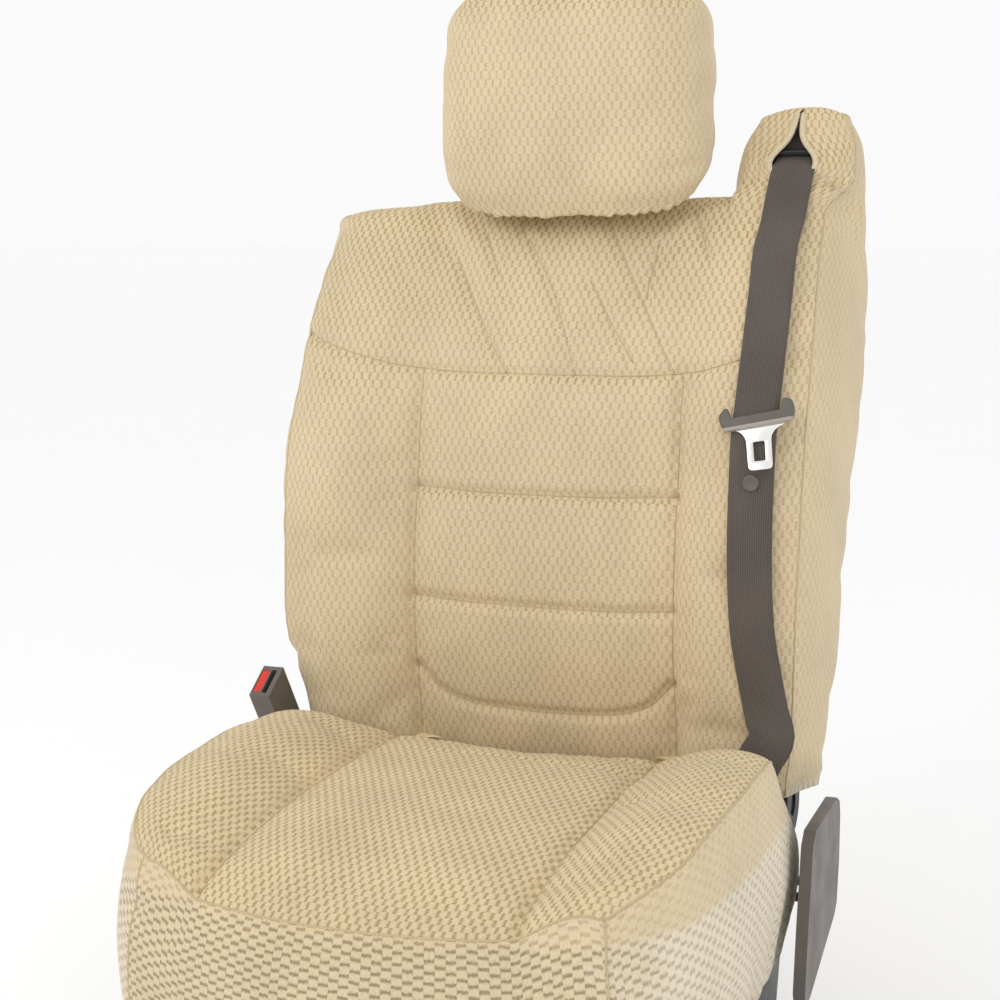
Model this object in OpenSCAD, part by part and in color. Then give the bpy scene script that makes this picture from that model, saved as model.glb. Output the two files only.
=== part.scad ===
// Seat cover set on the truck bucket seat that it is cut for, with a built-in belt tower.
// Millimetres. +X points to the belt tower, -Y to the front of the seat and +Z up.
// The origin is the centre of the four floor bolts, on the floor.

/* [Covers] */
// Thickness of the padded cover fabric
cover_t = 3; // [2:0.5:4]
// Gap between a cover and the foam inside it
cover_gap = 0.5; // [0.3:0.1:1]
// Height of an elastic hem band
hem_h = 8; // [6:1:10]

/* [Cushion] */
// Half width of the cushion cover across its side edges
cushion_half_w = 272; // [266:1:276]
// Half width of the cushion cover at its front corners
cushion_corner_half_w = 214; // [205:1:225]
// Front of the cushion at its middle
cushion_front_y = -325; // [-335:1:-315]
// Front of the cushion at its corners
cushion_corner_y = -272; // [-280:1:-265]
// Back of the cushion's middle panel
cushion_rear_y = 195; // [185:1:197]
// Back of the cushion's side bolsters
cushion_bolster_rear_y = 150; // [140:1:152]
// Rise of a side bolster over the middle panel
cushion_bolster_rise = 30; // [15:1:32]
// Lower edge of the cushion skirt, over its hem
cushion_hem_z = 195; // [190:1:205]
// Half width of the sewn middle panels of cushion and backrest
insert_half_w = 145; // [138:1:150]

/* [Backrest] */
// Lower edge of the backrest cover, over its hem
back_hem_z = 335; // [332:1:338]
// Height of the recline axis
recline_z = 315; // [312:1:318]
// Recline axis from the floor bolts' centre
recline_y = 240; // [236:1:244]

/* [Headrest] */
// Half distance between the two posts
post_half_span = 62; // [58:1:66]
// Radius of a post
post_r = 6; // [5:0.5:7]
// Lean of the posts from upright, in degrees
post_lean = 6; // [4:0.5:8]

/* [Belt] */
// Width of the webbing
web_w = 46; // [44:1:48]
// Thickness of the webbing
web_t = 1.6; // [1.2:0.1:1.8]
// Sideways place of the belt
belt_x = 231; // [228:1:234]

/* [Buckle] */
// Lean of the buckle from upright, in degrees
buckle_lean = 34; // [30:1:38]
// Distance from the buckle's anchor bolt to its open end
buckle_reach = 195; // [185:1:200]
// Width of the buckle housing
buckle_w = 44; // [40:1:46]
// Thickness of the buckle housing
buckle_t = 24; // [22:1:25]

/* [Tracks] */
// Half distance between the two tracks
track_half_span = 210; // [205:1:215]
// Half distance between front and rear floor bolts
bolt_half_y = 190; // [170:1:200]
// Half distance between left and right floor bolts
bolt_half_x = 250; // [248:1:255]
// Radius of a floor bolt's hole
bolt_hole_r = 5.5; // [4.5:0.5:6.5]
// Length of a lower rail
rail_length = 520; // [500:10:560]

/* [Hidden] */
$fn = 48;

FABRIC = "#e3d3ad";
FABRIC_EDGE = "#cdb98c";
PLASTIC = "#5b5550";
DARK = "#2f2c2a";
STEEL = "#8c8f92";
FOAM = "#efe9c9";
WEB = "#564e48";
foam_inset = cover_t + cover_gap;

// ---- Points and faces ----

function lerp(a, b, t) = a + (b - a) * t;
function flat(rows) = [for (row = rows) each row];
function mean(points) = [for (k = [0:2])
    let (values = [for (p = points) p[k]]) (min(values) + max(values)) / 2];
function moved(points, v) = [for (p = points) p + v];
function moved_grid(grid, v) = [for (row = grid) moved(row, v)];
function six_volumes(points, faces, i = 0, sum = 0) =
    i == len(faces) ? sum :
    six_volumes(points, faces, i + 1,
        sum + cross(points[faces[i][0]], points[faces[i][1]]) * points[faces[i][2]]);
function turned(face) = [face[2], face[1], face[0]];

// A closed solid from triangles that all wind the same way round
module solid(points, faces) {
    outward = six_volumes(points, faces) > 0;
    polyhedron(points, outward ? [for (f = faces) turned(f)] : faces);
}

// Triangles of a grid of points, and of the walls between two such grids
function grid_faces(rows, cols, first, flip) = [
    for (i = [0:rows - 2]) for (j = [0:cols - 2])
        let (a = first + i * cols + j, b = a + 1, d = a + cols, e = d + 1)
            each flip ? [[a, e, b], [a, d, e]] : [[a, b, e], [a, e, d]]];
function edge_faces(path, n) = [
    for (k = [0:len(path) - 2])
        let (a = path[k], b = path[k + 1])
            each [[b, a, a + n], [b, a + n, b + n]]];

// A sewn panel: a slab between an outer and an inner grid of the same size
module panel(outer, inner) {
    rows = len(outer);
    cols = len(outer[0]);
    n = rows * cols;
    rim = concat([for (j = [0:cols - 1]) j], [for (i = [1:rows - 1]) i * cols + cols - 1],
        [for (j = [cols - 2:-1:0]) (rows - 1) * cols + j],
        [for (i = [rows - 2:-1:0]) i * cols]);
    solid(concat(flat(outer), flat(inner)), concat(grid_faces(rows, cols, 0, false),
        grid_faces(rows, cols, n, true), edge_faces(rim, n)));
}

// Triangles between stacked rings of the same length, and a fan that closes one ring
function ring_faces(rings, cols, first, flip) = [
    for (i = [0:rings - 2]) for (j = [0:cols - 1])
        let (a = first + i * cols + j, b = first + i * cols + (j + 1) % cols,
            d = a + cols, e = b + cols)
            each flip ? [[a, e, b], [a, d, e]] : [[a, b, e], [a, e, d]]];
function fan_faces(cols, first, middle, flip) = [
    for (j = [0:cols - 1])
        let (a = first + j, b = first + (j + 1) % cols)
            flip ? [a, middle, b] : [a, b, middle]];

// A solid block lofted through closed rings
module block(rings) {
    count = len(rings);
    cols = len(rings[0]);
    top = (count - 1) * cols;
    middle = count * cols;
    solid(concat(flat(rings), [mean(rings[0]), mean(rings[count - 1])]),
        concat(ring_faces(count, cols, 0, false), fan_faces(cols, 0, middle, true),
            fan_faces(cols, top, middle + 1, false)));
}

// A bag: a lofted shell closed by a low peak at the top and open at the bottom
function peak(ring) = mean(ring) + [0, 0, 1.5];
module bag(outer, inner) {
    count = len(outer);
    cols = len(outer[0]);
    n = count * cols;
    middle = 2 * n;
    solid(concat(flat(outer), flat(inner), [peak(outer[count - 1]), peak(inner[count - 1])]),
        concat(ring_faces(count, cols, 0, false), fan_faces(cols, n - cols, middle, false),
            ring_faces(count, cols, n, true), fan_faces(cols, 2 * n - cols, middle + 1, true),
            [for (j = [0:cols - 1]) let (k = (j + 1) % cols) each
                [[k, j, j + n], [k, j + n, k + n]]]));
}

// An open band between an outer and an inner ring, between two heights
module band(outer_low, outer_high, inner_low, inner_high) {
    cols = len(outer_low);
    rings = [outer_low, outer_high, inner_high, inner_low, outer_low];
    solid(flat([for (k = [0:3]) rings[k]]), [
        for (k = [0:3]) for (j = [0:cols - 1])
            let (a = k * cols + j, b = k * cols + (j + 1) % cols,
                d = ((k + 1) % 4) * cols + j, e = ((k + 1) % 4) * cols + (j + 1) % cols)
                each [[a, b, e], [a, e, d]]]);
}

// Webbing along a path of [x, y, z, turn of its width about Z in degrees]
function web_edge(p, side, depth) =
    [p[0], p[1], p[2]] + side * web_w / 2 * [cos(p[3]), sin(p[3]), 0] + depth;
function web_tangent(path, i) =
    let (a = path[max(0, i - 1)], b = path[min(len(path) - 1, i + 1)])
        [b[0] - a[0], b[1] - a[1], b[2] - a[2]];
function web_depth(path, i) =
    let (across = [cos(path[i][3]), sin(path[i][3]), 0],
        n = cross(across, web_tangent(path, i)))
        n / norm(n) * web_t / 2;
module webbing(path) {
    panel([for (i = [0:len(path) - 1]) [for (side = [-1, 1])
            web_edge(path[i], side, -web_depth(path, i))]],
        [for (i = [0:len(path) - 1]) [for (side = [-1, 1])
            web_edge(path[i], side, web_depth(path, i))]]);
}

// Both sides of the seat
module both() {
    children();
    mirror([1, 0, 0]) children();
}

module x_rod(r, x0, x1, y, z) {
    translate([x0, y, z]) rotate([0, 90, 0]) cylinder(r = r, h = x1 - x0);
}

// Places things on the recline axis, with their own Z along +X
module at_pivot(x) {
    translate([x, recline_y, recline_z]) rotate([0, 90, 0]) children();
}

// Extrudes an outline drawn in Y and Z, from x0 to x1
module side_plate(x0, x1) {
    translate([x0, 0, 0]) rotate([90, 0, 90]) linear_extrude(x1 - x0) children();
}

// ---- Cushion form ----

// Rows from front to back: [share of the depth, half width, height of the middle panel]
cushion_rows = [[0, cushion_corner_half_w, 345], [0.06, cushion_half_w - 36, 357],
    [0.15, cushion_half_w - 17, 366], [0.3, cushion_half_w - 5, 376],
    [0.5, cushion_half_w, 381], [0.75, cushion_half_w, 380],
    [0.92, cushion_half_w - 4, 371], [1, cushion_half_w - 10, 352]];
// Columns across a bolster: [share of its width, share of its rise]
bolster_cols = [[0, 0], [0.3, 0.55], [0.65, 1], [0.88, 0.95], [1, 0.8]];
front_rise = [0.7, 0.75, 0.85, 1, 1, 1, 0.9, 0.6];

function cushion_front(share) = lerp(cushion_front_y, cushion_corner_y, share * share);
function cushion_point(row, side, share_w, share_rise, inset) =
    let (r = cushion_rows[row], half_w = r[1] - inset,
        x = lerp(insert_half_w, half_w, share_w),
        front = cushion_front(x / half_w) + inset,
        rear = lerp(cushion_rear_y, cushion_bolster_rear_y, min(1, 1.6 * share_w)) - inset)
        [side * x, lerp(front, rear, r[0]),
            r[2] + cushion_bolster_rise * share_rise * front_rise[row] - inset];
function cushion_insert_point(row, share, inset) =
    let (r = cushion_rows[row], x = share * insert_half_w,
        front = cushion_front(x / (r[1] - inset)) + inset)
        [x, lerp(front, cushion_rear_y - inset, r[0]), r[2] - inset];
function bolster_grid(side, inset) = [for (row = [0:len(cushion_rows) - 1])
    [for (c = bolster_cols) cushion_point(row, side, c[0], c[1], inset)]];
function insert_grid(inset) = [for (row = [0:len(cushion_rows) - 1])
    [for (share = [-1:0.5:1]) cushion_insert_point(row, share, inset)]];

// The cushion's upper edge, from its back left corner round the front to the back right
function cushion_edge(inset) = let (last = len(cushion_rows) - 1, b = bolster_cols)
    concat([for (row = [last:-1:1]) cushion_point(row, -1, 1, b[4][1], inset)],
        [for (k = [4:-1:1]) cushion_point(0, -1, b[k][0], b[k][1], inset)],
        [for (share = [-1:0.5:1]) cushion_insert_point(0, share, inset)],
        [for (k = [1:4]) cushion_point(0, 1, b[k][0], b[k][1], inset)],
        [for (row = [1:last]) cushion_point(row, 1, 1, b[4][1], inset)]);
function outward(p) =
    let (v = [p[0] / pow(cushion_half_w, 2), (p[1] + 40) / pow(330, 2), 0]) v / norm(v);
// A level of the skirt: the upper edge pushed out, down to a share of its height, and
// back at its rear ends
function skirt_line(level, inset, down = 0) = [for (p = cushion_edge(0))
    let (q = p + outward(p) * (level[1] - inset), rear = max(0, p[1] / cushion_bolster_rear_y))
        [q[0], q[1] + level[2] * rear * rear, lerp(p[2], cushion_hem_z, level[0]) - down]];
// Levels: [share of the height, bulge, reach behind the cushion]
skirt_levels = [[0, 0, 0], [0.2, 5, 32], [0.5, 8, 66], [0.8, 6, 66], [1, 2, 34]];

module cushion_insert_cover() {
    color(FABRIC) panel(insert_grid(0), moved_grid(insert_grid(0), [0, 0, -cover_t]));
}

module cushion_bolster_cover(side) {
    color(FABRIC) panel(bolster_grid(side, 0),
        moved_grid(bolster_grid(side, 0), [0, 0, -cover_t]));
}

module cushion_boxing_cover() {
    function side(inset) = [for (k = [0:4])
        skirt_line(skirt_levels[k], inset, k == 0 ? cover_t + 0.2 : 0)];
    color(FABRIC) panel(side(0), side(cover_t));
}

module cushion_hem_elastic() {
    last = skirt_levels[4];
    function side(inset) = [for (down = [0.2, hem_h]) skirt_line(last, inset, down)];
    color(FABRIC_EDGE) panel(side(0), side(cover_t + 1));
}

// The flap behind the cushion, following its stepped back edge
module cushion_rear_flap() {
    half_w = plate_x - 1.5;
    step_x = insert_half_w + 78;
    y_mid = cushion_rear_y;
    y_side = cushion_bolster_rear_y;
    outline = [[-half_w, y_side], [-step_x, y_side], [-insert_half_w, y_mid],
        [insert_half_w, y_mid], [step_x, y_side], [half_w, y_side]];
    low_z = cushion_hem_z + 10;
    color(FABRIC) translate([0, 1, low_z]) linear_extrude(340 - low_z)
        polygon(concat(outline, [for (k = [5:-1:0]) outline[k] - [0, cover_t]]));
}

module cushion_foam() {
    top = concat(
        [for (row = [0:len(cushion_rows) - 1]) concat(
            [for (k = [4:-1:1]) cushion_point(row, -1, bolster_cols[k][0],
                bolster_cols[k][1], foam_inset + 2)],
            [for (share = [-1:0.5:1]) cushion_insert_point(row, share, foam_inset + 2)],
            [for (k = [1:4]) cushion_point(row, 1, bolster_cols[k][0],
                bolster_cols[k][1], foam_inset + 2)])]);
    bottom = [for (row = top) [for (p = row) [p[0] * 0.97, min(p[1], cushion_rear_y - 12), 240.5]]];
    color(FOAM) panel(top, bottom);
}

// ---- Backrest form ----

// Rows from the hem up: [height, middle panel y, bolster y, rear y, front and rear half width,
// how far the left bolster reaches beyond the right one]
back_rows = [[back_hem_z, 214, 182, 298, 274, 288, 0], [400, 206, 176, 318, 280, 294, 0],
    [470, 192, 170, 338, 283, 299, 12], [560, 190, 170, 360, 285, 303, 16],
    [660, 204, 177, 390, 286, 306, 15], [765, 218, 212, 416, 285, 308, 15],
    [850, 252, 252, 418, 283, 308, 15], [890, 272, 272, 412, 281, 306, 12]];
yoke_row = 5;
// The crown over the shoulder: the last number is its right half width beside the tower
crown_rows = [[890.5, 272, 272, 411, 293, 312, 171], [921, 290, 290, 404, 294, 303, 171],
    [942, 300, 300, 390, 269, 278, 169], [952, 306, 306, 374, 240, 246, 163]];

function side_run(yb, yr, most, share) = min(most, share * (yr - yb));
function front_x(half_w, share) = lerp(insert_half_w, half_w, share);
function back_half(side, row, front_w, rear_w, inset) =
    let (yi = row[1] + inset, yb = row[2] + inset, yr = row[3] - inset,
        wf = front_w - inset, wr = rear_w - inset, run = side_run(yb, yr, 38, 0.3), z = row[0])
        [[side * wr, yr - run, z], [side * ((wf + wr) / 2 + 3), (yb + yr) / 2, z],
            [side * wf, yb + run, z], [side * front_x(wf, 0.94), yb + run / 3, z],
            [side * front_x(wf, 0.79), yb, z], [side * front_x(wf, 0.5), yb - 2, z],
            [side * front_x(wf, 0.25), lerp(yi, yb, 0.7), z]];
function reversed(list) = [for (k = [len(list) - 1:-1:0]) list[k]];
function back_rear(row, left_w, right_w, inset) =
    let (yr = row[3] - inset, l = left_w - inset, r = right_w - inset, z = row[0])
        [[r - 12, yr - 9, z], [r - 45, yr, z], [r / 2, yr, z], [0, yr, z], [-l / 2, yr, z],
            [45 - l, yr, z], [12 - l, yr - 9, z]];
// A closed ring of the backrest: left side, front from left to right, right side and rear
function back_ring(row, left_f, left_r, right_f, right_r, inset) =
    let (yi = row[1] + inset, z = row[0])
        concat(back_half(-1, row, left_f, left_r, inset),
            [for (share = [-1:0.5:1]) [share * insert_half_w, yi - 3 * (1 - share * share), z]],
            reversed(back_half(1, row, right_f, right_r, inset)),
            back_rear(row, left_r, right_r, inset));
function plain_ring(row, inset) =
    back_ring(row, row[4] + row[6], row[5] + row[6] / 2, row[4], row[5], inset);
function crown_ring(row, inset) =
    let (lowered = [row[0] - inset * (row[0] > 900 ? 1 : 0), row[1], row[2], row[3]])
        back_ring(lowered, row[4], row[5], row[6], row[6], inset);

// A sewn panel of the backrest: ring columns c0 to c1 between two rows
module back_panel(c0, c1, row0, row1) {
    color(FABRIC) panel(
        [for (k = [row0:row1]) let (ring = plain_ring(back_rows[k], 0))
            [for (c = [c0:c1]) ring[c % len(ring)]]],
        [for (k = [row0:row1]) let (ring = plain_ring(back_rows[k], cover_t))
            [for (c = [c0:c1]) ring[c % len(ring)]]]);
}

last_row = len(back_rows) - 1;
module back_insert_cover() back_panel(7, 11, 0, yoke_row);
module back_bolster_cover_left() back_panel(3, 7, 0, yoke_row);
module back_bolster_cover_right() back_panel(11, 15, 0, yoke_row);
module back_yoke_cover() back_panel(3, 15, yoke_row, last_row);
module back_side_cover_left() translate([-0.45, -0.3, 0]) back_panel(0, 3, 0, last_row);
module back_side_cover_right() translate([0.45, -0.3, 0]) back_panel(15, 18, 0, last_row);
module back_rear_cover() back_panel(18, 26, 0, last_row);

module back_hem_elastic() {
    outer = moved(plain_ring(back_rows[0], 0), [0, 0, -0.2]);
    inner = moved(plain_ring(back_rows[0], cover_t + 1), [0, 0, -0.2]);
    down = [0, 0, -hem_h];
    color(FABRIC_EDGE) band(moved(outer, down), outer, moved(inner, down), inner);
}

module back_crown_cover() {
    hole = 2 * sleeve_r + 1;
    color(FABRIC) difference() {
        bag([for (row = crown_rows) crown_ring(row, 0)],
            [for (row = crown_rows) crown_ring(row, cover_t)]);
        both() at_post() translate([0, 0, -10]) cube([hole, hole, 50], center = true);
    }
}

// The foam's back face lies on a leaning plane in front of the frame
function foam_back(z) = lerp(245, 300, (z - 340) / 560);
foam_heights = [354, 400, 470, 560, 660, 765, 850, 884];
function row_at(z, k = 0) =
    (k == last_row - 1 || z <= back_rows[k + 1][0])
        ? lerp(back_rows[k], back_rows[k + 1],
            (z - back_rows[k][0]) / (back_rows[k + 1][0] - back_rows[k][0]))
        : row_at(z, k + 1);
function foam_ring(z) =
    let (row = row_at(z), back = foam_back(z), half_w = row[4] - foam_inset - 8,
        ring = plain_ring([z, row[1], row[2], row[3], row[4] - 6, row[5] - 8, row[6]],
            foam_inset + 2.5))
        concat([for (k = [2:16]) [ring[k][0], min(ring[k][1], back - 2), z]],
            [[half_w, back, z], [-half_w, back, z]]);
module back_foam() {
    color(FOAM) block([for (z = foam_heights) foam_ring(z)]);
}

// ---- Belt tower ----

// Rows: [height, front y, rear y, left x, right x]
tower_rows = [[890.5, 272, 411, 175, 305], [930, 300, 403, 174, 305],
    [970, 326, 395, 175, 304], [1005, 347, 388, 180, 300], [1030, 356, 384, 191, 289],
    [1045, 362, 378, 212, 264]];
exit_low_z = 966;
exit_high_z = 1004;
roller_y = 365;
roller_z = 1008;
roller_r = 7;
spool_y = 370;
spool_r = 20;
function tower_ring(row, inset) =
    let (z = row[0] - inset * (row[0] > 1020 ? 1 : 0), f = row[1] + inset, r = row[2] - inset,
        l = row[3] + inset, w = row[4] - inset, c = min(18, 0.3 * (r - f)))
        [[l, r - c, z], [l, f + c, z], [l + c / 3, f + c / 3, z], [l + c, f, z],
            [(l + w) / 2, f - 1, z], [w - c, f, z], [w - c / 3, f + c / 3, z], [w, f + c, z],
            [w, r - c, z], [w - c / 3, r - c / 3, z], [w - c, r, z], [(l + w) / 2, r, z],
            [l + c, r, z], [l + c / 3, r - c / 3, z]];

module tower_sleeve() {
    exit_w = web_w + 8;
    color(FABRIC) difference() {
        bag([for (row = tower_rows) tower_ring(row, 0)],
            [for (row = tower_rows) tower_ring(row, cover_t)]);
        translate([belt_x + 5 - exit_w / 2, 290, exit_low_z])
            cube([exit_w, 70, exit_high_z - exit_low_z]);
        translate([belt_x + 1, 330, exit_high_z - 1]) cube([8, 44, 60]);
    }
}

// Plastic guide in the opening of the sleeve, with a slot for the webbing
guide_y = 345;
guide_z = 991.5;
guide_w = 52;
module belt_guide() {
    color(DARK) translate([belt_x + 5, guide_y, guide_z]) rotate([-60, 0, 0]) difference() {
        union() {
            translate([-guide_w / 2, -7, -3.5]) cube([guide_w, 14, 7]);
            for (y = [-7, 7]) translate([-guide_w / 2, y, 0]) rotate([0, 90, 0])
                cylinder(r = 3.5, h = guide_w);
        }
        translate([-web_w / 2 - 1, -3, -10]) cube([web_w + 2, 6, 20]);
    }
}

module guide_roller() {
    color(STEEL) x_rod(roller_r - 0.5, belt_x - 21, belt_x + 31, roller_y, roller_z);
}

module belt_retractor() {
    x0 = belt_x - 18;
    color(STEEL) {
        translate([x0 - 4, 348, 700]) cube([2.5, 44, 56]);
        translate([x0 + 47.5, 348, 700]) cube([2.5, 44, 56]);
        translate([x0 - 4, 345, 700]) cube([54, 3, 56]);
    }
    color(DARK) x_rod(spool_r, x0 - 1, x0 + 47, spool_y, 728);
}

// The webbing lies on the sleeve and the bolster, and leans with them
belt_line_y = 172.5;
belt_line_z = 710;
belt_slope = 0.485;
function belt_y(z) = belt_line_y + (z - belt_line_z) * belt_slope;
over_roller = [for (a = [0:45:180])
    [belt_x + 5, roller_y + (roller_r + 1.2) * cos(a), roller_z + (roller_r + 1.2) * sin(a), 0]];
belt_route = concat([[belt_x + 5, spool_y + spool_r + 1, 732, 0], [belt_x + 5, 385, 800, 0],
    [belt_x + 5, 377, 980, 0]], over_roller, [
    [belt_x + 5, guide_y + 1, guide_z + 0.5, 0], [belt_x + 5, 322, 978, 0],
    [belt_x + 4, 307, 955, 0], [belt_x + 2, 288, 925, 0],
    [belt_x, belt_y(900), 900, 0], [belt_x, belt_y(850), 850, 0], [belt_x, belt_y(800), 800, 0],
    [belt_x, belt_y(750), 750, 0], [belt_x, belt_y(710), 710, 0], [belt_x, 168, 670, 0],
    [belt_x, 164, 620, 0], [belt_x + 2, 162, 560, 0], [belt_x + 8, 162, 510, 0],
    [belt_x + 17, 163, 465, 0], [belt_x + 25, 164, 425, 0], [belt_x + 27, 164, 418, 0]]);
lower_route = [[belt_x + 28, 157.5, 407, 0], [belt_x + 17, 157, 385, 0],
    [belt_x + 4, 160, 355, 0], [belt_x + 4.5, 163, 301, 0]];
stop_z = 664;
stop_y = 167.2;
stop_r = 8.5;

module shoulder_webbing() {
    color(WEB) {
        webbing(belt_route);
        translate([belt_x, stop_y, stop_z]) rotate([96, 0, 0]) cylinder(r = stop_r, h = 2.4);
    }
}

module lower_webbing() {
    color(WEB) webbing(lower_route);
}

// ---- Latch plate, sliding on the webbing ----

latch_z = 733;
shell_w = 66;
shell_h = 26;
shell_t = 16;
tongue_t = 2.4;
tongue_y = -6.4;
module at_latch() {
    translate([belt_x, belt_y(latch_z), latch_z]) rotate([-atan(belt_slope), 0, 0]) children();
}

module latch_shell() {
    color(PLASTIC) at_latch() difference() {
        translate([-shell_w / 2, -shell_t / 2 - 2, -shell_h / 2]) cube([shell_w, shell_t, shell_h]);
        translate([-web_w / 2 - 2, -2, -shell_h]) cube([web_w + 4, 4, 2 * shell_h]);
        translate([-20.3, tongue_y - 0.3, -shell_h]) cube([40.6, tongue_t + 0.6, shell_h + 8]);
    }
}

module latch_tongue() {
    half = 20;
    tip = 13.5;
    color("#d4d4d2") at_latch() translate([0, tongue_y + tongue_t, 0]) rotate([90, 0, 0])
        linear_extrude(tongue_t) difference() {
            polygon([[-half, 6], [half, 6], [half, -16], [tip, -27], [tip, -60], [tip - 4, -66],
                [4 - tip, -66], [-tip, -60], [-tip, -27], [-half, -16]]);
            translate([-5.5, -54]) square([11, 24]);
        }
}

// ---- Headrest ----

sleeve_r = 11;
post_y = 322;
post_z = 952;
module at_post() {
    translate([post_half_span, post_y, post_z]) rotate([-post_lean, 0, 0]) children();
}

// Rows: [front height, rise towards the rear, front y, rear y, half width]
head_rows = [[931, 0.48, 240, 346, 130], [944, 0.42, 230, 352, 141], [975, 0.27, 224, 357, 146],
    [1040, 0.1, 222, 358, 148], [1100, 0, 226, 356, 146], [1145, 0, 236, 350, 136],
    [1168, 0, 252, 338, 116], [1178, 0, 274, 318, 86]];
head_sides = 24;
function squared(v, power) = sign(v) * pow(abs(v), power);
// How far the headrest's cover sits to the right of the posts' middle
head_x = 8;
function head_ring(row, inset) =
    let (a = row[4] - inset, b = (row[3] - row[2]) / 2 - inset, mid = (row[2] + row[3]) / 2,
        drop = inset * (row[0] > 1120 ? 1 : 0))
        [for (k = [0:head_sides - 1]) let (t = 360 * k / head_sides,
            x = a * squared(cos(t), 0.62), y = mid + b * squared(sin(t), 0.72))
            [x, y, row[0] + row[1] * (y - row[2]) - drop]];

module headrest_cover() {
    color(FABRIC) translate([head_x, 0, 0]) bag([for (row = head_rows) head_ring(row, 0)],
        [for (row = head_rows) head_ring(row, cover_t)]);
}

module headrest_foam() {
    color(FOAM) difference() {
        translate([head_x, 0, 0])
            block([for (k = [1:len(head_rows) - 1]) head_ring(head_rows[k], foam_inset)]);
        both() at_post() cylinder(r = post_r + 0.4, h = 102);
        translate([0, post_y, post_z]) rotate([-post_lean, 0, 0])
            translate([-90, -8, 91.6]) cube([180, 16, 22.8]);
    }
}

post_top = 91.8;
post_length = 214;
module headrest_posts() {
    color("#c9c9c9") both() at_post() translate([0, 0, post_top - post_length]) difference() {
        cylinder(r = post_r, h = post_length);
        for (k = [0:3]) translate([post_r - 1.2, -post_r, 36 + 20 * k])
            cube([3, 2 * post_r, 3]);
    }
}

module headrest_armature() {
    color(STEEL) translate([0, post_y, post_z]) rotate([-post_lean, 0, 0])
        translate([-88, -6, post_top + 0.2]) cube([176, 12, 22]);
}

module post_sleeves() {
    color(DARK) both() at_post() difference() {
        union() {
            translate([0, 0, -58]) cylinder(r = sleeve_r, h = 62);
            translate([0, 0, 3.6]) cylinder(r = sleeve_r + 4, h = 2.6);
        }
        translate([0, 0, -70]) cylinder(r = post_r + 0.06, h = 90);
    }
}

module height_button() {
    color(DARK) at_post() translate([sleeve_r + 7.5, -5, 2.2]) cube([9, 10, 4]);
}

module post_bushings() {
    color(STEEL) both() at_post() difference() {
        translate([0, 0, -84]) cylinder(r = sleeve_r + 2.5, h = 60);
        translate([0, 0, -90]) cylinder(r = sleeve_r + 0.2, h = 80);
    }
}

// ---- Backrest frame ----

frame_x = 248;
tube_r = 11;
tube_low_y = 268;
tube_high_y = 321;
tube_low_z = 372;
tube_high_z = 868;
tube_lean = atan((tube_high_y - tube_low_y) / (tube_high_z - tube_low_z));

module back_hinge_plates() {
    color(STEEL) both() difference() {
        side_plate(frame_x - 2, frame_x + 2) difference() {
            union() {
                translate([recline_y, recline_z]) circle(r = 24);
                polygon([[recline_y - 14, recline_z + 18], [recline_y + 18, recline_z - 14],
                    [292, 366], [296, 440], [262, 440], [256, 366]]);
            }
            translate([recline_y, recline_z]) circle(r = 8.05);
        }
    }
}

module back_side_tube() {
    color(STEEL) translate([-frame_x + 14, tube_low_y, tube_low_z]) rotate([-tube_lean, 0, 0])
        cylinder(r = tube_r, h = tube_high_z - tube_low_z);
}

module back_upper_tube() {
    color(STEEL) x_rod(tube_r, -frame_x + 3, 208.8, 340, 876);
}

module tower_column() {
    color(STEEL) translate([209, tube_low_y - 11, tube_low_z]) rotate([-tube_lean, 0, 0])
        difference() {
            cube([36, 40, 560]);
            translate([2.5, 2.5, -1]) cube([31, 35, 570]);
        }
}

module suspension_wires() {
    color(STEEL) for (z = [430:90:790])
        x_rod(2, -frame_x + 27, 207, foam_back(z) + 8, z);
}

// ---- Recliner and seat frame ----

plate_x = 253;
plate_t = 4;
shield_x = 314;
lever_y = -25;
lever_z = 178;
shield_wall = 2.5;
shield_studs = [[229, 218], [229, 236]];
anchor_y = 186;
anchor_z = 266;
buckle_y = 250;
buckle_z = 262;
module side_frame() {
    color(STEEL) {
        side_plate(plate_x, plate_x + plate_t) difference() {
            union() {
                polygon([[-205, 92], [215, 92], [262, 240], [268, 300], [212, 300],
                    [166, 286], [166, 240], [-150, 232], [-165, 190]]);
                translate([recline_y, recline_z]) circle(r = 29);
            }
            translate([recline_y, recline_z]) circle(r = 8.05);
            translate([anchor_y, anchor_z]) circle(r = 6.05);
            translate([buckle_y, buckle_z]) circle(r = 6.05);
            translate([lever_y, lever_z]) circle(r = 5.06);
            for (y = [-120, 20]) translate([y, 165]) circle(r = 26);
        }
        translate([track_half_span - 12, -205, 88.3])
            cube([plate_x + plate_t - track_half_span + 12, 420, 3.7]);
        for (p = shield_studs)
            x_rod(5, plate_x + plate_t, shield_x - shield_wall - 0.3, p[0], p[1]);
    }
}

module recliner_housings() {
    color(DARK) both() at_pivot(plate_x + plate_t + 0.2) difference() {
        cylinder(r = 34, h = 9);
        translate([0, 0, -1]) cylinder(r = 12.4, h = 12);
    }
}

module recliner_pivots() {
    color(STEEL) both() at_pivot(frame_x - 8) {
        cylinder(r = 8, h = 17.5);
        translate([0, 0, 17.4]) cylinder(r = 12, h = 6);
    }
}

module recliner_shaft() {
    color(STEEL) x_rod(5, -frame_x + 9, frame_x - 9, recline_y, recline_z);
}

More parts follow.
